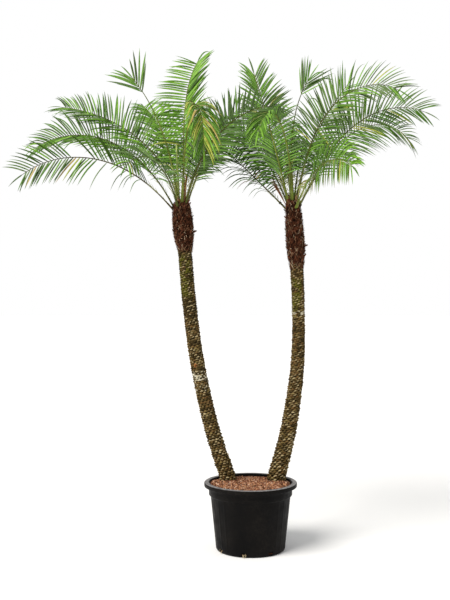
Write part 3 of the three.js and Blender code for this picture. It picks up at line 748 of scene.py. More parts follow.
def make_trunk(stem, bark):
    """The trunk's whole skin of old leaf bases, in rows that climb round it: each base leans out over a gap
    darkened with painted shade and ends in a pale edge, partly worn and partly a painted highlight."""
    seed = SEEDS["trunk"] + stem.number
    foot, top = stem.foot + 1, stem.join + 16
    rng = np.random.default_rng(seed + 100)
    size, tone, bright = (rng.uniform(low, 1.25, BASE_KINDS) for low in (0.35, 0.0, 0.0))

    def skin(angle, share):
        height = lerp(foot, top, share)
        girth = stem.trunk_radius(height)
        along, across, inside, number = nearest_base(
            angle, height, foot, top, girth, seed, BASE_CLIMB, BASE_SIZE, ROW_TILT,
        )
        kind = number % BASE_KINDS
        spots = stem.skin(angle, height, girth)
        fine, coarse, broad = (roughness_at(spots, scale, seed + scale) for scale in (330, 120, 34))

        # A base rises from its foot to its upper edge, which is worn ragged, and falls off beyond it.
        ragged = across + 0.3 * coarse + 0.12 * fine
        ledge = smoothstep(ragged, -0.6, 0.45) * (1 - 0.8 * smoothstep(ragged, 0.6, 1.0))
        body = ledge * (1 - 0.6 * np.abs(along) ** 2.5)
        reach = lerp(3.8, 7.2, smoothstep(height, 1050, 480)) * size[kind]
        edge = smoothstep(inside, 0.0, 0.3)
        radius = girth - TRUNK_SUNK + body * reach * lerp(0.4, 1.0, edge) + fine * 0.8 + coarse * 1.0

        # What the bark's finish reads: painted shade, darkest in the gaps and at the bases' edges, and a pale
        # tip on about half the bases, partly worn and partly a painted highlight along the upper edge.
        shade = MARKED[stem.side] * UPPER_SHADE * smoothstep(height, 980, 1180)
        measures = {
            "painted_shading": smoothstep(ragged + 0.25 * fine, -0.75, 0.05) * lerp(0.35, 1.0, edge),
            "tone": np.clip(tone[kind] / 1.25 + 0.3 * coarse - shade, 0, 1),
            # The tip measure: a pale upper edge, partly worn and partly a painted highlight.
            "tip": smoothstep(ragged, 0.3, 0.6) * np.clip(bright[kind] * 2.2 - 1.25, 0, 1) * edge,
            **growth(stem, angle, height, girth, fine, coarse, broad),
        }
        return stem.skin(angle, height, radius), measures

    rows = int((top - foot) / TRUNK_ROW)
    name = f"{stem.side}_trunk_bark"
    mesh = sleeve(name, TRUNK_SIDES, rows, skin)
    show(name, mesh, [bark], slot="trunk", stands_for=[f"{stem.side}_trunk"])


# ---------------------------------------------------------------- heads

HEAD_SIDES = 110
HEAD_ROW = 2.2
HEAD_SUNK = 4.5
KNOB_CLIMB = 3.2
KNOB_SIZE = (13, 15)


def make_head(stem, finishes):
    """The head of matted fibre in knobs, with its pegs, stubs and loose strands."""
    seed = SEEDS["head"] + stem.number
    foot, top = stem.join - 6, stem.top

    def skin(angle, share):
        height = lerp(foot, top, share)
        radius = stem.head_radius(height)
        _, across, inside, number = nearest_base(
            angle, height, foot, top, radius, seed, KNOB_CLIMB, KNOB_SIZE, 0.0,
        )
        rng = np.random.default_rng(seed + 100)
        size = rng.uniform(0.3, 1.3, BASE_KINDS)[number % BASE_KINDS]
        knob = smoothstep(inside, 0.0, 0.35)
        spots = stem.skin(angle, height, radius)
        rough = roughness_at(spots, 210, seed) * 1.6 + roughness_at(spots, 55, seed + 5) * 3.0
        jut = knob * (1.0 + 4.4 * smoothstep(across, -0.9, 0.7) * size)
        edge = smoothstep(share, 0.0, 0.05)
        points = stem.skin(angle, height, radius - HEAD_SUNK + jut + rough * edge)
        # This shading measure is painted light: dark between the knobs, lighter towards each knob's top.
        return points, {"painted_shading": np.clip(knob * 0.6 + 0.2 + 0.5 * across * knob + rough * 0.14, 0, 1)}

    rows = int((top - foot) / HEAD_ROW)
    name = f"{stem.side}_head_mass"
    mesh = sleeve(name, HEAD_SIDES, rows, skin)
    show(name, mesh, [finishes["mass"]], slot="fibre", stands_for=[f"{stem.side}_head"])
    add_head_pegs(stem, finishes)
    add_head_stubs(stem, finishes, seed)
    add_head_fibres(stem, finishes, seed)


PEG_LENGTH, PEG_SUNK, PEG_RADIUS, PEG_TAPER, PEG_RISE = 19, 12, 5.4, 0.3, 0.4


def add_head_pegs(stem, finishes):
    """The few old stalks that were cut long: each a worn wooden peg with a rounded end."""
    for number, (share, direction) in enumerate(stem.head["pegs"], 1):
        height = lerp(stem.join, stem.top, share)
        turn = math.radians(direction)
        start = stem.skin(np.array(turn), np.array(height), float(stem.head_radius(height)) - PEG_SUNK)
        outward, side = round_axis(turn)
        out = unit(outward + UP * PEG_RISE)
        above = np.cross(side, out)

        def place(t, angle):
            rounding = math.sqrt(max(0.05, 1 - max(0.0, (t - 0.85) / 0.15) ** 2))
            girth = PEG_RADIUS * MM * (1 - PEG_TAPER * t) * rounding
            girth *= 1 + 0.12 * math.sin(3 * angle + 9 * t)
            along = out * t * (PEG_LENGTH + PEG_SUNK) * MM
            return start + along + (side * math.cos(angle) + above * math.sin(angle)) * girth

        name = f"{stem.side}_head_peg_{number}"
        show(name, limb(name, 12, 14, place), [finishes["red"]], slot="fibre")


STUB_CLIMB = 4.4
STUB_STEPS = 3
PALE_STUBS = 0.25


def add_head_stubs(stem, finishes, seed):
    """Cut stalk bases in a spiral over the head, each a tapering wedge, about a quarter of them with a pale
    end.
    """
    rng = np.random.default_rng(seed + 7)
    shapes, parts = [], []
    faces = block_faces(STUB_STEPS)
    count = int((stem.top - stem.join - 12) / STUB_CLIMB)
    for k in range(count):
        height = stem.join + 8 + k * STUB_CLIMB
        angle = -k * GOLDEN_ANGLE + rng.uniform(-0.15, 0.15)
        radius = float(stem.head_radius(height))
        base = stem.skin(np.array(angle), np.array(height), radius - 5)
        outwards, level = round_axis(angle)
        climb = rng.uniform(1.2, 2.6)
        along = unit(outwards + UP * climb)
        face = np.cross(level, along)
        length = rng.uniform(13, 26) * MM
        half, thick = rng.uniform(5, 8.5) * MM, rng.uniform(2.0, 3.2) * MM
        rings = []
        for i in range(STUB_STEPS + 1):
            t = i / STUB_STEPS
            middle = base + along * length * t + outwards * 0.0015 * t * t
            wide, deep = half * (1 - 0.45 * t), thick * (1 - 0.25 * t)
            rings += [
                middle - level * wide - face * deep,
                middle + level * wide - face * deep,
                middle + level * wide * 0.6 + face * deep,
                middle - level * wide * 0.6 + face * deep,
            ]
        pale = rng.uniform() < PALE_STUBS
        body = int(rng.integers(0, 2))
        shapes.append(rings)
        parts.append([body] * (len(faces) - 1) + [2 if pale else body])
    inks = pick(finishes, "dark", "red", "cut")
    show_shapes(f"{stem.side}_head_stubs", np.array(shapes), faces, parts, inks, smooth=False, slot="fibre")


FIBRES_PER_HEAD = 1500
FIBRE_STEPS = 6


def add_head_fibres(stem, finishes, seed):
    """Loose strands wound both ways over the head, some with an end that stands off."""
    rng = np.random.default_rng(seed + 9)
    count = FIBRES_PER_HEAD
    start = rng.uniform(stem.join - 14, stem.top - 18, count)
    angle = rng.uniform(0, 2 * math.pi, count)
    lean = rng.choice([-1, 1], count) * rng.uniform(0.05, 0.8, count)
    length = rng.uniform(8, 30, count)
    width = rng.uniform(0.35, 1.0, count) * MM
    lift = rng.uniform(0.2, 3.0, count)
    loose = np.where(rng.uniform(0, 1, count) < 0.3, rng.uniform(2, 8, count), 0.0)
    rings = []
    for i in range(FIBRE_STEPS + 1):
        t = i / FIBRE_STEPS
        height = start + length * t * np.cos(np.arctan(lean))
        height = np.minimum(height, stem.top - 2)
        radius = stem.head_radius(np.maximum(height, stem.join))
        radius = np.where(height < stem.join, stem.trunk_radius(height), radius)
        turn = angle + length * t * np.sin(np.arctan(lean)) / radius
        wave = np.sin(t * 9 + angle * 5) * 0.9
        middle = stem.skin(turn, height, radius + lift + wave + loose * t**3)
        outwards = np.stack([np.cos(turn), np.sin(turn), np.zeros(count)], axis=-1)
        heading = np.stack([-np.sin(turn) * lean, np.cos(turn) * lean, np.ones(count)], axis=-1)
        side = unit(np.cross(outwards, heading)) * width[:, None]
        rings += [middle - side, middle + outwards * width[:, None] * 0.6, middle + side]
    points = np.stack(rings, axis=1)
    faces = tube_faces(3, FIBRE_STEPS)
    parts = rng.choice(4, (count, 1), p=[0.44, 0.34, 0.17, 0.05])
    inks = pick(finishes, "dark", "red", "tan", "pale")
    show_shapes(f"{stem.side}_head_fibres", points, faces, parts, inks, smooth=False, slot="fibre")


# ---------------------------------------------------------------- fronds

MIDRIB_PIECES = 48
LEAFLET_GAP = 16.0
LEAFLET_WIDTH = 8.2
LEAFLET_STEPS = 7
STALK_RADII = (5.6, 1.5)
STALK_DEPTHS = (4.2, 1.2)
STALK_FLARE = 1.6
STALK_SIDES = 8

# Where the draws of a frond's leaflets and spines start, and the step from frond to frond.
LEAFLET_SEED = (1000, 17)
SPINE_SEED = (3000, 13)
RIGHT_SEED_SHIFT = 500


class Frond:
    """One frond's midrib as the frame's rule bends it, in metres."""

    def __init__(self, stem, number, row):
        self.azimuth, self.rise, self.fall, self.bow, self.length = row[:5]
        self.roll, self.hang, *self.angles, self.palette = row[5:10]
        self.bare = row[10] if len(row) > 10 else BARE_SHARE
        self.stem = stem
        self.number = number
        self.name = f"{stem.side}_frond_{number:02d}"
        self.outward, self.level = round_axis(math.radians(self.azimuth))
        points = [self.foot()]
        for i in range(MIDRIB_PIECES):
            step = self.heading((i + 0.5) / MIDRIB_PIECES) * self.length * MM / MIDRIB_PIECES
            points.append(points[i] + step)
        self.points = np.array(points)

    def foot(self):
        head = self.stem.head
        level = math.radians(min(max((self.rise - LOWEST_RISE) * FOOT_CLIMB, 4), 84))
        reach = head["radius"] * FOOT_REACH * math.cos(level)
        return (self.stem.tip + self.outward * reach + UP * HEAD_DOME * (math.sin(level) - 1)) * MM

    def heading(self, s):
        return climbing(self.outward, lerp(self.rise, self.fall, max(s, 0) ** self.bow))

    def at(self, s):
        """The midrib's point at the share s, with its heading, its left and its upper side."""
        place = min(max(s, 0), 1) * MIDRIB_PIECES
        index = min(int(place), MIDRIB_PIECES - 1)
        point = lerp(self.points[index], self.points[index + 1], place - index)
        along = self.heading(s)
        point = point + along * min(s, 0) * self.length * MM
        above = np.cross(along, self.level)
        turned = math.radians(self.roll) * smoothstep(s, 0, ROLLED_SHARE)
        side = self.level * math.cos(turned) + above * math.sin(turned)
        return point, along, side, np.cross(along, side)

    def seed(self, first, step):
        return first + self.number * step + RIGHT_SEED_SHIFT * (self.stem.number - 1)

    def nodes(self):
        """The frame's nodes that the midrib stands for: a far-bending frond has two."""
        if self.rise - self.fall < SPLIT_BEND:
            return [self.name]
        return [self.name + "_stalk", self.name + "_tip"]


def stalk_size(s):
    """Half the stalk's breadth and half its depth at the share s of the midrib, in metres."""
    share = min(max(s, 0), 1) ** 0.7
    flare = 1 + (STALK_FLARE - 1) * smoothstep(-s, -0.1, 0.01)
    return lerp(*STALK_RADII, share) * flare * MM, lerp(*STALK_DEPTHS, share) * (0.6 + 0.4 * flare) * MM


# Which of the three stalk finishes a palette takes.
STALK_SKINS = {"old": 0, "dull": 0, "bleached": 1, "grown": 1, "shaded": 1, "yellowing": 2, "fresh": 2}


def make_midrib(frond, finishes):
    """The stalk and midrib in one limb, grooved above near its foot."""
    start = -STALK_SUNK / frond.length

    def place(t, angle):
        s = lerp(start, 1.0, t**1.15)
        point, _, side, up = frond.at(s)
        wide, deep = stalk_size(s)
        groove = 0.25 * max(0.0, math.sin(angle)) ** 3 * smoothstep(s, 0.5, 0.0)
        return point + side * math.cos(angle) * wide + up * math.sin(angle) * deep * (1 - groove)

    name = f"{frond.name}_midrib"
    skin = finishes["stalk"][STALK_SKINS[frond.palette]]
    show(name, limb(name, STALK_SIDES, 34, place), [skin], slot="leaf_green", stands_for=frond.nodes())


# Fronds that are fresh green in a part only: in the upper row or both, and from which share on.
FRESH_PARTS = {"right_frond_05": ("upper", 0.0), "right_frond_04": ("both", 0.62)}

# How broad and how close together the leaflets of a palette are, beside the usual.
LEAFLET_BREADTH = {"fresh": 1.2, "bleached": 0.92, "shaded": 0.84, "yellowing": 1.1}
LEAFLET_CROWDING = {"shaded": 0.7, "fresh": 0.78, "yellowing": 0.66, "bleached": 0.92, "grown": 0.84}

# How many leaflets of a palette hang their own way.
WAYWARD_SHARES = {"shaded": 0.4, "dull": 0.3, "grown": 0.12}

# The lower leaflets of these palettes are limp near the stalk, and some are lost.
LIMP = ("old", "dull")
LIMP_SHARE = 0.6
LIMP_LOSS = 0.75

# Where a frond has lost the leaflets of one row: the row, and the stretch of it.
LOST = {"left_frond_01": (-1, 0.46, 0.62)}

# What is known of each leaflet, and the length of the one past the tip beside its neighbours.
LEAFLET_KEYS = ("root", "direction", "up", "reach", "lead", "out", "limp", "lower")
TERMINAL_SHARE = 0.75


def leaflet_rows(frond, rng):
    """Every leaflet of a frond as arrays: both rows along the midrib and one past its tip."""
    gap = LEAFLET_GAP * LEAFLET_CROWDING.get(frond.palette, 1.0)
    count = int(frond.length * (LAST_LEAFLET_SHARE - frond.bare) / gap)
    grown = min(max((frond.length - SHORT_FROND) / (LONG_FROND - SHORT_FROND), 0), 1)
    full = LEAFLET_LENGTH * lerp(SHORT_FROND_SHARE, 1, grown) * MM
    lost_row, lost_from, lost_to = LOST.get(frond.name, (0, 1, 1))
    rows = []
    for i in range(count + 1):
        for row in (-1, 1):
            out = min(1.0, (i + 0.5 + rng.uniform(-0.18, 0.18) + 0.25 * row) / count)
            s = lerp(frond.bare, LAST_LEAFLET_SHARE, out)
            point, along, side, up = frond.at(s)
            lower = row * side[2] < 0
            limp = max(0.0, 1 - out / LIMP_SHARE) if frond.palette in LIMP and lower else 0.0
            lost = row == lost_row and lost_from < out < lost_to
            if lost or rng.uniform() < limp * LIMP_LOSS:
                continue
            first, last = frond.angles[(row + 1) // 2]
            slant = math.radians(lerp(first, last, out**LEAFLET_CLOSING) + rng.normal(0, 2.5))
            lift = math.radians(LEAFLET_LIFT + rng.normal(0, 5))
            across = side * row * math.cos(lift) + up * math.sin(lift)
            swell = lerp(LEAFLET_END_SHARE, 1, math.sin(math.pi * out**0.8))
            wide, _ = stalk_size(s)
            root = point + side * row * wide * 0.6
            direction = along * math.cos(slant) + across * math.sin(slant)
            reach = full * swell * (1 + rng.normal(0, 0.04))
            rows.append((root, direction, up, reach, along, out, limp, lower))
    point, along, _, up = frond.at(1)
    rows.append((point, along, up, full * LEAFLET_END_SHARE * TERMINAL_SHARE, along, 1.0, 0.0, False))
    return {key: np.array(value) for key, value in zip(LEAFLET_KEYS, zip(*rows))}


# The fronds whose lower leaflets hang further, and how much.
HANGING = ("right_frond_05",)
HANGING_MORE = 0.7

# How far to the front a leaflet may hang; longer ones are drawn in towards their roots.
FRONT_LIMIT = -0.657


def draw_in(points):
    """Leaflets that would pass the front limit, shortened towards their roots."""
    root = points[:, 1:2]
    passed = root[:, 0, 1] - points[..., 1].min(axis=1)
    share = np.clip((root[:, 0, 1] - FRONT_LIMIT) / np.maximum(passed, 1e-9), 0.2, 1.0)
    return root + (points - root) * share[:, None, None]


def make_leaflets(frond, finishes):
    """Every leaflet of a frond as one piece, in the tints of its palette."""
    rng = np.random.default_rng(frond.seed(*LEAFLET_SEED))
    rows = leaflet_rows(frond, rng)
    count = len(rows["reach"])
    width = LEAFLET_WIDTH * MM * rng.uniform(0.82, 1.12, count)
    width *= lerp(0.85, 1.0, np.sin(math.pi * rows["out"]))
    width *= LEAFLET_BREADTH.get(frond.palette, 1.0) * (1 - 0.5 * rows["limp"])
    hang = frond.hang + np.abs(rng.normal(0, 0.06, count)) + 0.9 * rows["limp"]
    if frond.name in HANGING:
        hang = hang + HANGING_MORE * rows["lower"]
    wayward = rng.uniform(0, 1, count) < WAYWARD_SHARES.get(frond.palette, 0.05)
    hang = np.where(wayward, hang + rng.uniform(0.2, 0.7, count), hang)
    points = blades(
        rows["root"], rows["direction"], rows["up"], rows["reach"], width, hang,
        fold=0.45, steps=LEAFLET_STEPS, sweep=0.06, lead=rows["lead"], twist=rng.normal(0, 0.25, count),
    )
    tint = rng.choice(len(LEAF_TINTS), count, p=PALETTES[frond.palette])
    if frond.name in FRESH_PARTS:
        row, start = FRESH_PARTS[frond.name]
        green = rng.choice(len(LEAF_TINTS), count, p=PALETTES["fresh"])
        part = (rows["out"] >= start) & ~(rows["lower"] & (row == "upper"))
        tint = np.where(part, green, tint)
    parts = tint[:, None] * 2 + np.array(blade_sides(LEAFLET_STEPS))
    slot = "leaf_yellow_green" if frond.palette == "yellowing" else "leaf_green"
    name = f"{frond.name}_leaflets"
    show_shapes(name, draw_in(points), blade_faces(LEAFLET_STEPS), parts, finishes["leaves"], slot=slot)


SPINES_PER_SIDE = 9
SPINES_END = 0.22
SPINE_WIDTH = 0.0026
SPINE_HANG = 0.02
SPINE_STEPS = 3


def make_spines(frond, finishes):
    """Leaflets of the bare stalk, reduced to stiff spines that grow longer up the stalk."""
    rng = np.random.default_rng(frond.seed(*SPINE_SEED))
    roots, directions, ups, reaches = [], [], [], []
    for i in range(SPINES_PER_SIDE):
        for row in (-1, 1):
            out = (i + rng.uniform(0, 0.6)) / SPINES_PER_SIDE
            point, along, side, up = frond.at(lerp(0.03, min(frond.bare, SPINES_END), out))
            slant = math.radians(rng.uniform(24, 50))
            across = side * row + up * rng.uniform(0, 0.5)
            roots.append(point + side * row * 0.004)
            directions.append(along * math.cos(slant) + unit(across) * math.sin(slant))
            ups.append(up)
            reaches.append(lerp(14, 60, out) * rng.uniform(0.7, 1.2) * MM)
    roots, directions, ups, reaches = map(np.array, (roots, directions, ups, reaches))
    points = blades(roots, directions, ups, reaches, SPINE_WIDTH, SPINE_HANG, fold=0.8, steps=SPINE_STEPS)
    name = f"{frond.name}_spines"
    show_shapes(name, points, blade_faces(SPINE_STEPS), 0, [finishes["spine"]], slot="leaf_green")


# A dark gall on a stalk: the share of the midrib that it sits at, and its radius.
GALLS = {"right_frond_06": (0.08, 7 * MM)}


def make_gall(frond, finish):
    share, radius = GALLS[frond.name]
    point = Vector(frond.at(share)[0])
    bm = bmesh.new()
    bmesh.ops.create_icosphere(bm, subdivisions=3, radius=radius)
    for vert in bm.verts:
        vert.co = point + vert.co * (1 + 0.3 * noise.noise(vert.co * 140))
    name = f"{frond.name}_gall"
    show(name, mesh_of(bm, name), [finish], slot="fibre")


def make_frond(frond, finishes):
    make_midrib(frond, finishes)
    make_leaflets(frond, finishes)
    make_spines(frond, finishes)
    if frond.name in GALLS:
        make_gall(frond, finishes["gall"])


# ---------------------------------------------------------------- spears and dry sheath

SPEARS = {
    "left": {"foot": (-9, -3, -6), "azimuth": 170, "rise": 87, "length": 310},
    "right": {"foot": (-9, 8, -6), "azimuth": 120, "rise": 86, "length": 270},
}
SPEAR_BLADES = 22
SHEATH = {"foot": (-33, 6, -22), "azimuth": 170, "rise": 63, "length": 165}
SHEATH_BLADES = 16
STRIP_WIDTH = 0.009
STRIP_STEPS = 6


def place_of(stem, row):
    """Where a spear or sheath starts in the head, its direction, and the level direction across it."""
    outward, level = round_axis(math.radians(row["azimuth"]))
    along = climbing(outward, row["rise"])
    return (stem.tip + row["foot"]) * MM - along * STALK_SUNK * MM, along, level


def make_spear(stem, finishes):
    """Unopened leaflets, packed edge to edge round their stalk."""
    row = SPEARS[stem.side]
    base, along, side = place_of(stem, row)
    front = np.cross(along, side)
    rng = np.random.default_rng(SEEDS["spear"] + stem.number)
    turn = np.arange(SPEAR_BLADES) * GOLDEN_ANGLE
    outwards = side * np.cos(turn)[:, None] + front * np.sin(turn)[:, None]
    start = rng.uniform(0, 0.35, SPEAR_BLADES)
    length = row["length"] * MM
    roots = base + along * (start * length)[:, None] + outwards * 0.0032
    reach = (1 - start) * length * rng.uniform(0.82, 0.99, SPEAR_BLADES)
    directions = unit(along + outwards * 0.004)
    points = blades(roots, directions, outwards, reach, STRIP_WIDTH, 0.0, fold=-0.35, steps=STRIP_STEPS)
    parts = rng.integers(0, 2, (SPEAR_BLADES, 1))
    show_shapes(
        f"{stem.side}_spear_leaflets", points, blade_faces(STRIP_STEPS), parts, finishes["spear"],
        slot="spear", stands_for=[f"{stem.side}_spear"],
    )


def make_dry_sheath(stem, finishes):
    """A torn strip of dry leaf sheath that stands up beside the stalks."""
    base, along, side = place_of(stem, SHEATH)
    rng = np.random.default_rng(SEEDS["sheath"])
    across = np.linspace(-1, 1, SHEATH_BLADES)
    roots = base + side * (across * 0.008)[:, None] + along * rng.uniform(0, 0.02, SHEATH_BLADES)[:, None]
    directions = unit(along + side * (across * 0.05)[:, None] + rng.normal(0, 0.03, (SHEATH_BLADES, 3)))
    reach = SHEATH["length"] * MM * rng.uniform(0.55, 1.0, SHEATH_BLADES)
    ups = np.broadcast_to(np.cross(along, side), (SHEATH_BLADES, 3))
    twist = rng.normal(0, 0.8, SHEATH_BLADES)
    points = blades(roots, directions, ups, reach, 0.006, 0.12, fold=0.3, steps=STRIP_STEPS, twist=twist)
    show_shapes(
        "right_sheath_strips", points, blade_faces(STRIP_STEPS), rng.integers(0, 3, (SHEATH_BLADES, 1)),
        pick(finishes, "red", "tan", "orange"), slot="fibre", stands_for=["right_dry_sheath"],
    )


# Bunches of strips: x and y from the head's tip, length and count.
NECK_STRIPS = {
    "left": [(14, -16, 165, 4), (-12, -22, 45, 3)],
    "right": [(-22, -14, 60, 3), (15, -18, 50, 3)],
}
NECK_SUNK = 18


def make_neck_strips(stem, finishes):
    """Torn dry strips of leaf sheath that stand up between the stalks' feet."""
    rng = np.random.default_rng(SEEDS["neck"] + stem.number)
    points, parts = [], []
    for x, y, long, count in NECK_STRIPS[stem.side]:
        base = (stem.tip + (x, y, -NECK_SUNK)) * MM
        roots = base + rng.normal(0, 0.003, (count, 3))
        directions = unit(UP + np.array((x, y, 0)) * 0.004 + rng.normal(0, 0.03, (count, 3)))
        ups = np.broadcast_to((0.0, -1.0, 0.0), (count, 3))
        reach = long * MM * rng.uniform(0.6, 1.0, count)
        twist = rng.normal(0, 0.6, count)
        points.append(
            blades(roots, directions, ups, reach, STRIP_WIDTH, 0.05, fold=0.3, steps=STRIP_STEPS, twist=twist)
        )
        parts.append(rng.integers(0, 3, (count, 1)))
    show_shapes(
        f"{stem.side}_neck_strips", np.concatenate(points), blade_faces(STRIP_STEPS), np.concatenate(parts),
        pick(finishes, "red", "tan", "orange"), slot="fibre",
    )


# ---------------------------------------------------------------- pot

POT_SEGMENTS = 360

# The ribs' directions in degrees, in threes to either side of the front and of the back.
POT_RIBS = [end + turn * sign for end in (-90, 90) for turn in (42, 54, 68) for sign in (-1, 1)]
RIB_WIDTH = 9 * MM
RIB_HEIGHT = 0.9 * MM
RIB_EDGE = 0.0016

# The outer wall's radius at the foot, the same at the ledge, the ledge's height, and the stretch
# of the wall that has ribs.
WALL_FOOT, WALL_TOP, WALL_HEIGHT = 0.168, 0.194, 0.263
RIBS_FROM, RIBS_TO = 0.012, 0.262
DRAIN_COUNT = 8
DRAIN_TURN = -102
DRAIN_HALF_TURN = 4.2
DRAIN_LOW, DRAIN_HIGH = 9 * MM, 22 * MM
DRAIN_SKIN = 0.1665


def arc(centre, radius, start, end, steps):
    """Profile points round a corner, between two angles in degrees."""
    turns = [math.radians(lerp(start, end, i / steps)) for i in range(steps + 1)]
    return [(centre[0] + radius * math.cos(a), centre[1] + radius * math.sin(a)) for a in turns]


def pot_profile():
    """The pot's section as radius and height in millimetres, from the middle of its foot outside
    and up, over the rolled rim and down the inside."""
    wall = [(lerp(168, 193.6, t), lerp(12, 258, t)) for t in np.linspace(0.06, 1, 16)]
    return [
        (1, 0), (60, 0), (120, 0), (152, 0), *arc((156, 12), 12, -90, -12, 5), *wall,
        (195.5, 261.5), (200.6, 264.5), (202, 267), (202, 285), (202, 303.5),
        *arc((221.5, 308.5), 3.5, -90, 0, 4), (225, 315), *arc((220, 320), 5, 0, 90, 5),
        (212, 324.6), (206, 324.8), *arc((202.5, 321), 4, 90, 180, 4),
        (198.5, 300), (198.4, 270), (190.5, 262), (186, 200), (178, 120), (165, 14),
        (150, 6), (60, 6), (1, 6),
    ]


def make_pot(plastic):
    """The nursery pot: its section spun round, with ribs, drain slots and a pale top to its rim."""
    bm = bmesh.new()
    profile = [bm.verts.new((r * MM, 0, z * MM)) for r, z in pot_profile()]
    chain = [bm.edges.new(pair) for pair in zip(profile, profile[1:])]
    bmesh.ops.spin(
        bm, geom=profile + chain, cent=(0, 0, 0), axis=(0, 0, 1), angle=2 * math.pi,
        steps=POT_SEGMENTS, use_merge=True,
    )
    bmesh.ops.remove_doubles(bm, verts=bm.verts, dist=1e-6)
    bmesh.ops.holes_fill(bm, edges=[e for e in bm.edges if e.is_boundary], sides=0)
    raise_ribs(bm)
    cut_drains(bm)
    bmesh.ops.recalc_face_normals(bm, faces=bm.faces)
    pale_rim_top = bm.verts.layers.float.new("pale_rim_top")
    for vert in bm.verts:
        radius, height = math.hypot(vert.co.x, vert.co.y), vert.co.z
        # The rim's upper face, above its rolled lip, is coloured pale grey.
        vert[pale_rim_top] = 0.7 * smoothstep(height, 0.3236, 0.325) * smoothstep(radius, 0.2, 0.206)
    show("pot_shell", mesh_of(bm, "pot_shell"), [plastic], slot="pot", stands_for=["pot"])


def raise_ribs(bm):
    """Low upright ribs and panel edges on the tapering outer wall."""
    for vert in bm.verts:
        radius, height = math.hypot(vert.co.x, vert.co.y), vert.co.z
        wall = lerp(WALL_FOOT, WALL_TOP, height / WALL_HEIGHT)
        if abs(radius - wall) > 0.0012 or not RIBS_FROM < height < RIBS_TO:
            continue
        angle = math.degrees(math.atan2(vert.co.y, vert.co.x))
        near = min(abs(wrapped(angle - rib, 180)) for rib in POT_RIBS)
        off = math.radians(near) * radius
        ends = smoothstep(height, RIBS_FROM, 0.03) * smoothstep(height, RIBS_TO, 0.25)
        raised = RIB_HEIGHT * smoothstep(off, RIB_WIDTH / 2 + RIB_EDGE, RIB_WIDTH / 2 - RIB_EDGE) * ends
        vert.co.x *= 1 + raised / radius
        vert.co.y *= 1 + raised / radius


def cut_drains(bm):
    """Slots through the lower wall: the same window is opened in both skins and walled in."""
    for i in range(DRAIN_COUNT):
        middle = DRAIN_TURN + i * 360 / DRAIN_COUNT

        def off_middle(place):
            return wrapped(math.degrees(math.atan2(place.y, place.x)) - middle, 180)

        window = []
        for face in bm.faces:
            centre = face.calc_center_median()
            low = DRAIN_LOW < centre.z < DRAIN_HIGH and math.hypot(centre.x, centre.y) > 0.152
            if low and abs(off_middle(centre)) < DRAIN_HALF_TURN:
                window.append(face)
        bmesh.ops.delete(bm, geom=window, context="FACES")
        corners = [v for v in bm.verts if v.is_boundary and abs(off_middle(v.co)) < 2 * DRAIN_HALF_TURN]
        rings = []
        for outside in (True, False):
            skin = [v for v in corners if (math.hypot(v.co.x, v.co.y) > DRAIN_SKIN) == outside]
            split = sum(v.co.z for v in skin) / len(skin)
            top = sorted((v for v in skin if v.co.z > split), key=lambda v: off_middle(v.co))
            foot = sorted((v for v in skin if v.co.z < split), key=lambda v: -off_middle(v.co))
            rings.append(top + foot)
        outer, inner = rings
        for k in range(len(outer)):
            after = (k + 1) % len(outer)
            bm.faces.new((outer[k], outer[after], inner[after], inner[k]))


# Slots that roots have grown out of, and how many.
ROOTED_DRAINS = {0: 6, 7: 4}


def make_pot_roots(finish):
    """A few pale roots that have grown out of the slots and curl on the wall's foot."""
    rng = np.random.default_rng(SEEDS["pot_roots"])
    for drain, count in ROOTED_DRAINS.items():
        middle = DRAIN_TURN + drain * 360 / DRAIN_COUNT
        for number in range(count):
            start = math.radians(middle + rng.uniform(-3, 3))
            drift, sway, long = rng.uniform(-0.08, 0.08), rng.uniform(-2, 2, 2), rng.uniform(14, 26) * MM
            high, thick = rng.uniform(13, 21) * MM, rng.uniform(0.6, 1.1) * MM

            def place(t, angle):
                turn = start + drift * t + 0.012 * math.sin(5 * t + sway[0])
                radius = 0.164 + 0.011 * min(1.0, 2.2 * t) + 0.0015 * math.sin(6 * t + sway[1])
                height = max(thick + 0.001, high - long * t**1.3)
                girth = thick * (1 - 0.6 * t)
                outward, level = round_axis(turn)
                skin = (level * math.cos(angle) + outward * math.sin(angle)) * girth
                return outward * radius + UP * height + skin

            name = f"pot_root_{drain}_{number}"
            show(name, limb(name, 6, 12, place), [finish], slot="fibre")


# ---------------------------------------------------------------- mulch

MULCH_LEVEL = 314
MULCH_RADIUS = 197.6
CHIP_COUNT = 5200
STRAW_COUNT = 900
STRAW_WIDTH = 0.0011
STRAW_STEPS = 4

# Where the mulch is heaped up, and how high; the first two are the trunks.
MOUNDS = ((-104, 60, 9), (124, 60, 8), (-150, 20, 7), (20, -40, 3))


def mulch_height(x, y):
    """The mulch's top in millimetres: lowest inside the rim, heaped round the trunks."""
    radius = math.hypot(x, y)
    heap = 0.0
    for foot_x, foot_y, tall in MOUNDS:
        away = math.hypot(x - foot_x, y - foot_y)
        heap = max(heap, tall * smoothstep(away, 95, 25))
    sag = 6.0 * smoothstep(radius, 150, 198)
    ripple = noise.noise(Vector((x * 0.03, y * 0.03, 4.0))) * 3.0
    return MULCH_LEVEL + heap - sag + ripple


def make_mulch(finishes):
    """A rough bed of fine mulch, with chips and coir straws lying on it."""
    bm = bmesh.new()
    bmesh.ops.create_circle(bm, cap_ends=True, cap_tris=True, segments=96, radius=MULCH_RADIUS * MM)
    bmesh.ops.subdivide_edges(bm, edges=bm.edges, cuts=24, use_grid_fill=True)
    for vert in bm.verts:
        x, y = vert.co.x / MM, vert.co.y / MM
        coarse = noise.noise(Vector((x * 0.22, y * 0.22, 9.0)))
        grain = coarse * 2.2 + noise.noise(Vector((x * 0.6, y * 0.6, 2.0)))
        vert.co.z = (mulch_height(x, y) + grain - 1.5) * MM
    bmesh.ops.recalc_face_normals(bm, faces=bm.faces)
    show("mulch_bed", mesh_of(bm, "mulch_bed"), [finishes["bed"]], slot="soil")
    scatter_chips(finishes)
    scatter_straws(finishes)


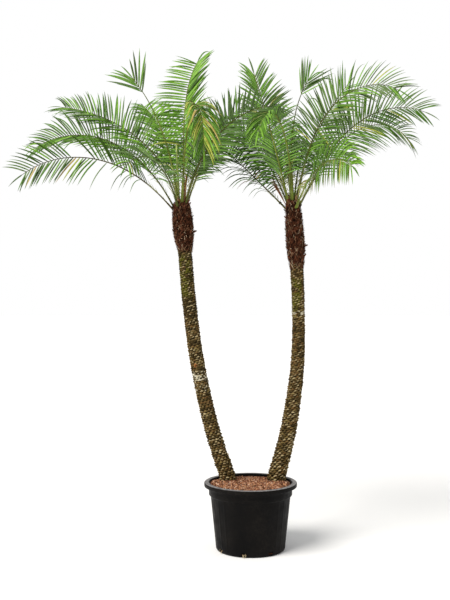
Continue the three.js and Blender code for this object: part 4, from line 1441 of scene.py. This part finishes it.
def scatter(rng, count):
    """Places on the mulch, even over its area, as x, y and the height there."""
    radius = MULCH_RADIUS * np.sqrt(rng.uniform(0, 1, count)) * 0.975
    turn = rng.uniform(0, 2 * math.pi, count)
    x, y = radius * np.cos(turn), radius * np.sin(turn)
    z = np.array([mulch_height(a, b) for a, b in zip(x, y)])
    return np.stack([x, y, z], axis=-1) * MM


def scatter_chips(finishes):
    """Flat broken chips: boxes with ragged corners, each tilted its own way."""
    rng = np.random.default_rng(SEEDS["chips"])
    centre = scatter(rng, CHIP_COUNT) + UP * rng.uniform(-0.0015, 0.0022, CHIP_COUNT)[:, None]
    long = rng.uniform(2.5, 8.5, CHIP_COUNT) * MM
    wide = long * rng.uniform(0.25, 0.6, CHIP_COUNT)
    deep = rng.uniform(0.5, 1.5, CHIP_COUNT) * MM
    turn = rng.uniform(0, 2 * math.pi, CHIP_COUNT)
    tilt = rng.normal(0, 0.5, (CHIP_COUNT, 2))
    ahead = unit(np.stack([np.cos(turn), np.sin(turn), tilt[:, 0]], axis=-1))
    side = unit(np.cross(np.stack([tilt[:, 1], tilt[:, 0], np.ones(CHIP_COUNT)], axis=-1), ahead))
    above = np.cross(ahead, side)
    corners = []
    for z in (-1, 1):
        for a, b in ((-1, -1), (1, -1), (1, 1), (-1, 1)):
            ragged = rng.uniform(0.6, 1.0, (CHIP_COUNT, 1))
            corners.append(
                centre + ahead * (long * a)[:, None] * ragged + side * (wide * b)[:, None] * ragged
                + above * (deep * z)[:, None]
            )
    parts = rng.choice(4, (CHIP_COUNT, 1), p=[0.32, 0.34, 0.22, 0.12])
    inks = pick(finishes, "russet", "orange", "brown", "tan")
    points = np.stack(corners, axis=1)
    show_shapes("mulch_chips", points, block_faces(1), parts, inks, smooth=False, slot="soil")


def scatter_straws(finishes):
    """Thin coir straws that lie between the chips."""
    rng = np.random.default_rng(SEEDS["straws"])
    root = scatter(rng, STRAW_COUNT) + UP * 0.002
    turn = rng.uniform(0, 2 * math.pi, STRAW_COUNT)
    heading = unit(np.stack([np.cos(turn), np.sin(turn), rng.normal(0.05, 0.16, STRAW_COUNT)], axis=-1))
    reach = rng.uniform(8, 26, STRAW_COUNT) * MM
    inside = np.linalg.norm((root + heading * reach[:, None])[:, :2], axis=1) < 0.196
    up = np.broadcast_to(UP, (int(inside.sum()), 3))
    points = blades(
        root[inside], heading[inside], up, reach[inside], STRAW_WIDTH, 0.15,
        fold=0.6, steps=STRAW_STEPS, twist=rng.normal(0, 1.2, STRAW_COUNT)[inside],
    )
    parts = rng.choice(3, (len(points), 1), p=[0.4, 0.35, 0.25])
    inks = pick(finishes, "orange", "tan", "russet")
    show_shapes("mulch_straws", points, blade_faces(STRAW_STEPS), parts, inks, smooth=False, slot="soil")


def main():
    set_camera()
    set_world()
    set_sun()
    make_floor()
    frond_finishes = {
        "leaves": leaf_finishes(),
        "stalk": [
            stalk_finish("stalk_brown_olive", "#2c250d", "#4c441c", "#7d7650"),
            stalk_finish("stalk_olive", "#33370d", "#5a5f24", "#93956a"),
            stalk_finish("stalk_green", "#464f14", "#7d8a38", "#a9ae7c"),
        ],
        "gall": strand_finish("gall_dark", "#14100a", "#30261a"),
        "spine": leaf_finish("spine_green", "#7a8a3a", "#b8b870", 0.5),
        "spear": [
            leaf_finish("spear_pale", "#a3b45a", "#cdd68c", 0.5),
            leaf_finish("spear_green", "#7f9a44", "#aabf68", 0.5),
        ],
    }
    head_finishes = {
        "mass": fibre_mass_finish(),
        "dark": strand_finish("strand_dark", "#160a05", "#331c10"),
        "red": strand_finish("strand_russet", "#3a1d10", "#764630"),
        "tan": strand_finish("strand_tan", "#6a4a34", "#9c7c60"),
        "pale": strand_finish("strand_pale", "#a28a6c", "#d2bfa2"),
        "cut": strand_finish("stub_cut_end", "#a57f62", "#e2c8ac"),
        "orange": strand_finish("sheath_orange", "#a0602c", "#cf9450"),
    }
    mulch_finishes = {
        "bed": mulch_finish("mulch_bed_fine", "#3a2114", "#7a4a30"),
        "russet": mulch_finish("mulch_russet", "#6f4230", "#9c664b"),
        "orange": mulch_finish("mulch_orange", "#a5744f", "#cf9a74"),
        "brown": mulch_finish("mulch_brown", "#3c2416", "#66402a"),
        "tan": mulch_finish("mulch_tan", "#b8927a", "#e0c0a6"),
    }
    make_pot(pot_finish())
    make_pot_roots(strand_finish("root_pale", "#a3906c", "#d9c9a6"))
    make_mulch(mulch_finishes)
    bark = bark_finish()
    for side in ("left", "right"):
        stem = Stem(side)
        make_trunk(stem, bark)
        make_head(stem, head_finishes)
        for number, row in enumerate(FRONDS[side], 1):
            make_frond(Frond(stem, number, row), frond_finishes)
        make_spear(stem, frond_finishes)
        make_neck_strips(stem, head_finishes)
        if side == "right":
            make_dry_sheath(stem, head_finishes)

    # The frame's own soil stays under the mulch bed, in the bed's finish.
    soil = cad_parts["soil"].data
    soil.materials.clear()
    soil.materials.append(mulch_finishes["bed"])


main()


def corners(box):
    return [list(corner) for corner in box]


{"cad": corners(cad_box), "visual": corners(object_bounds())}
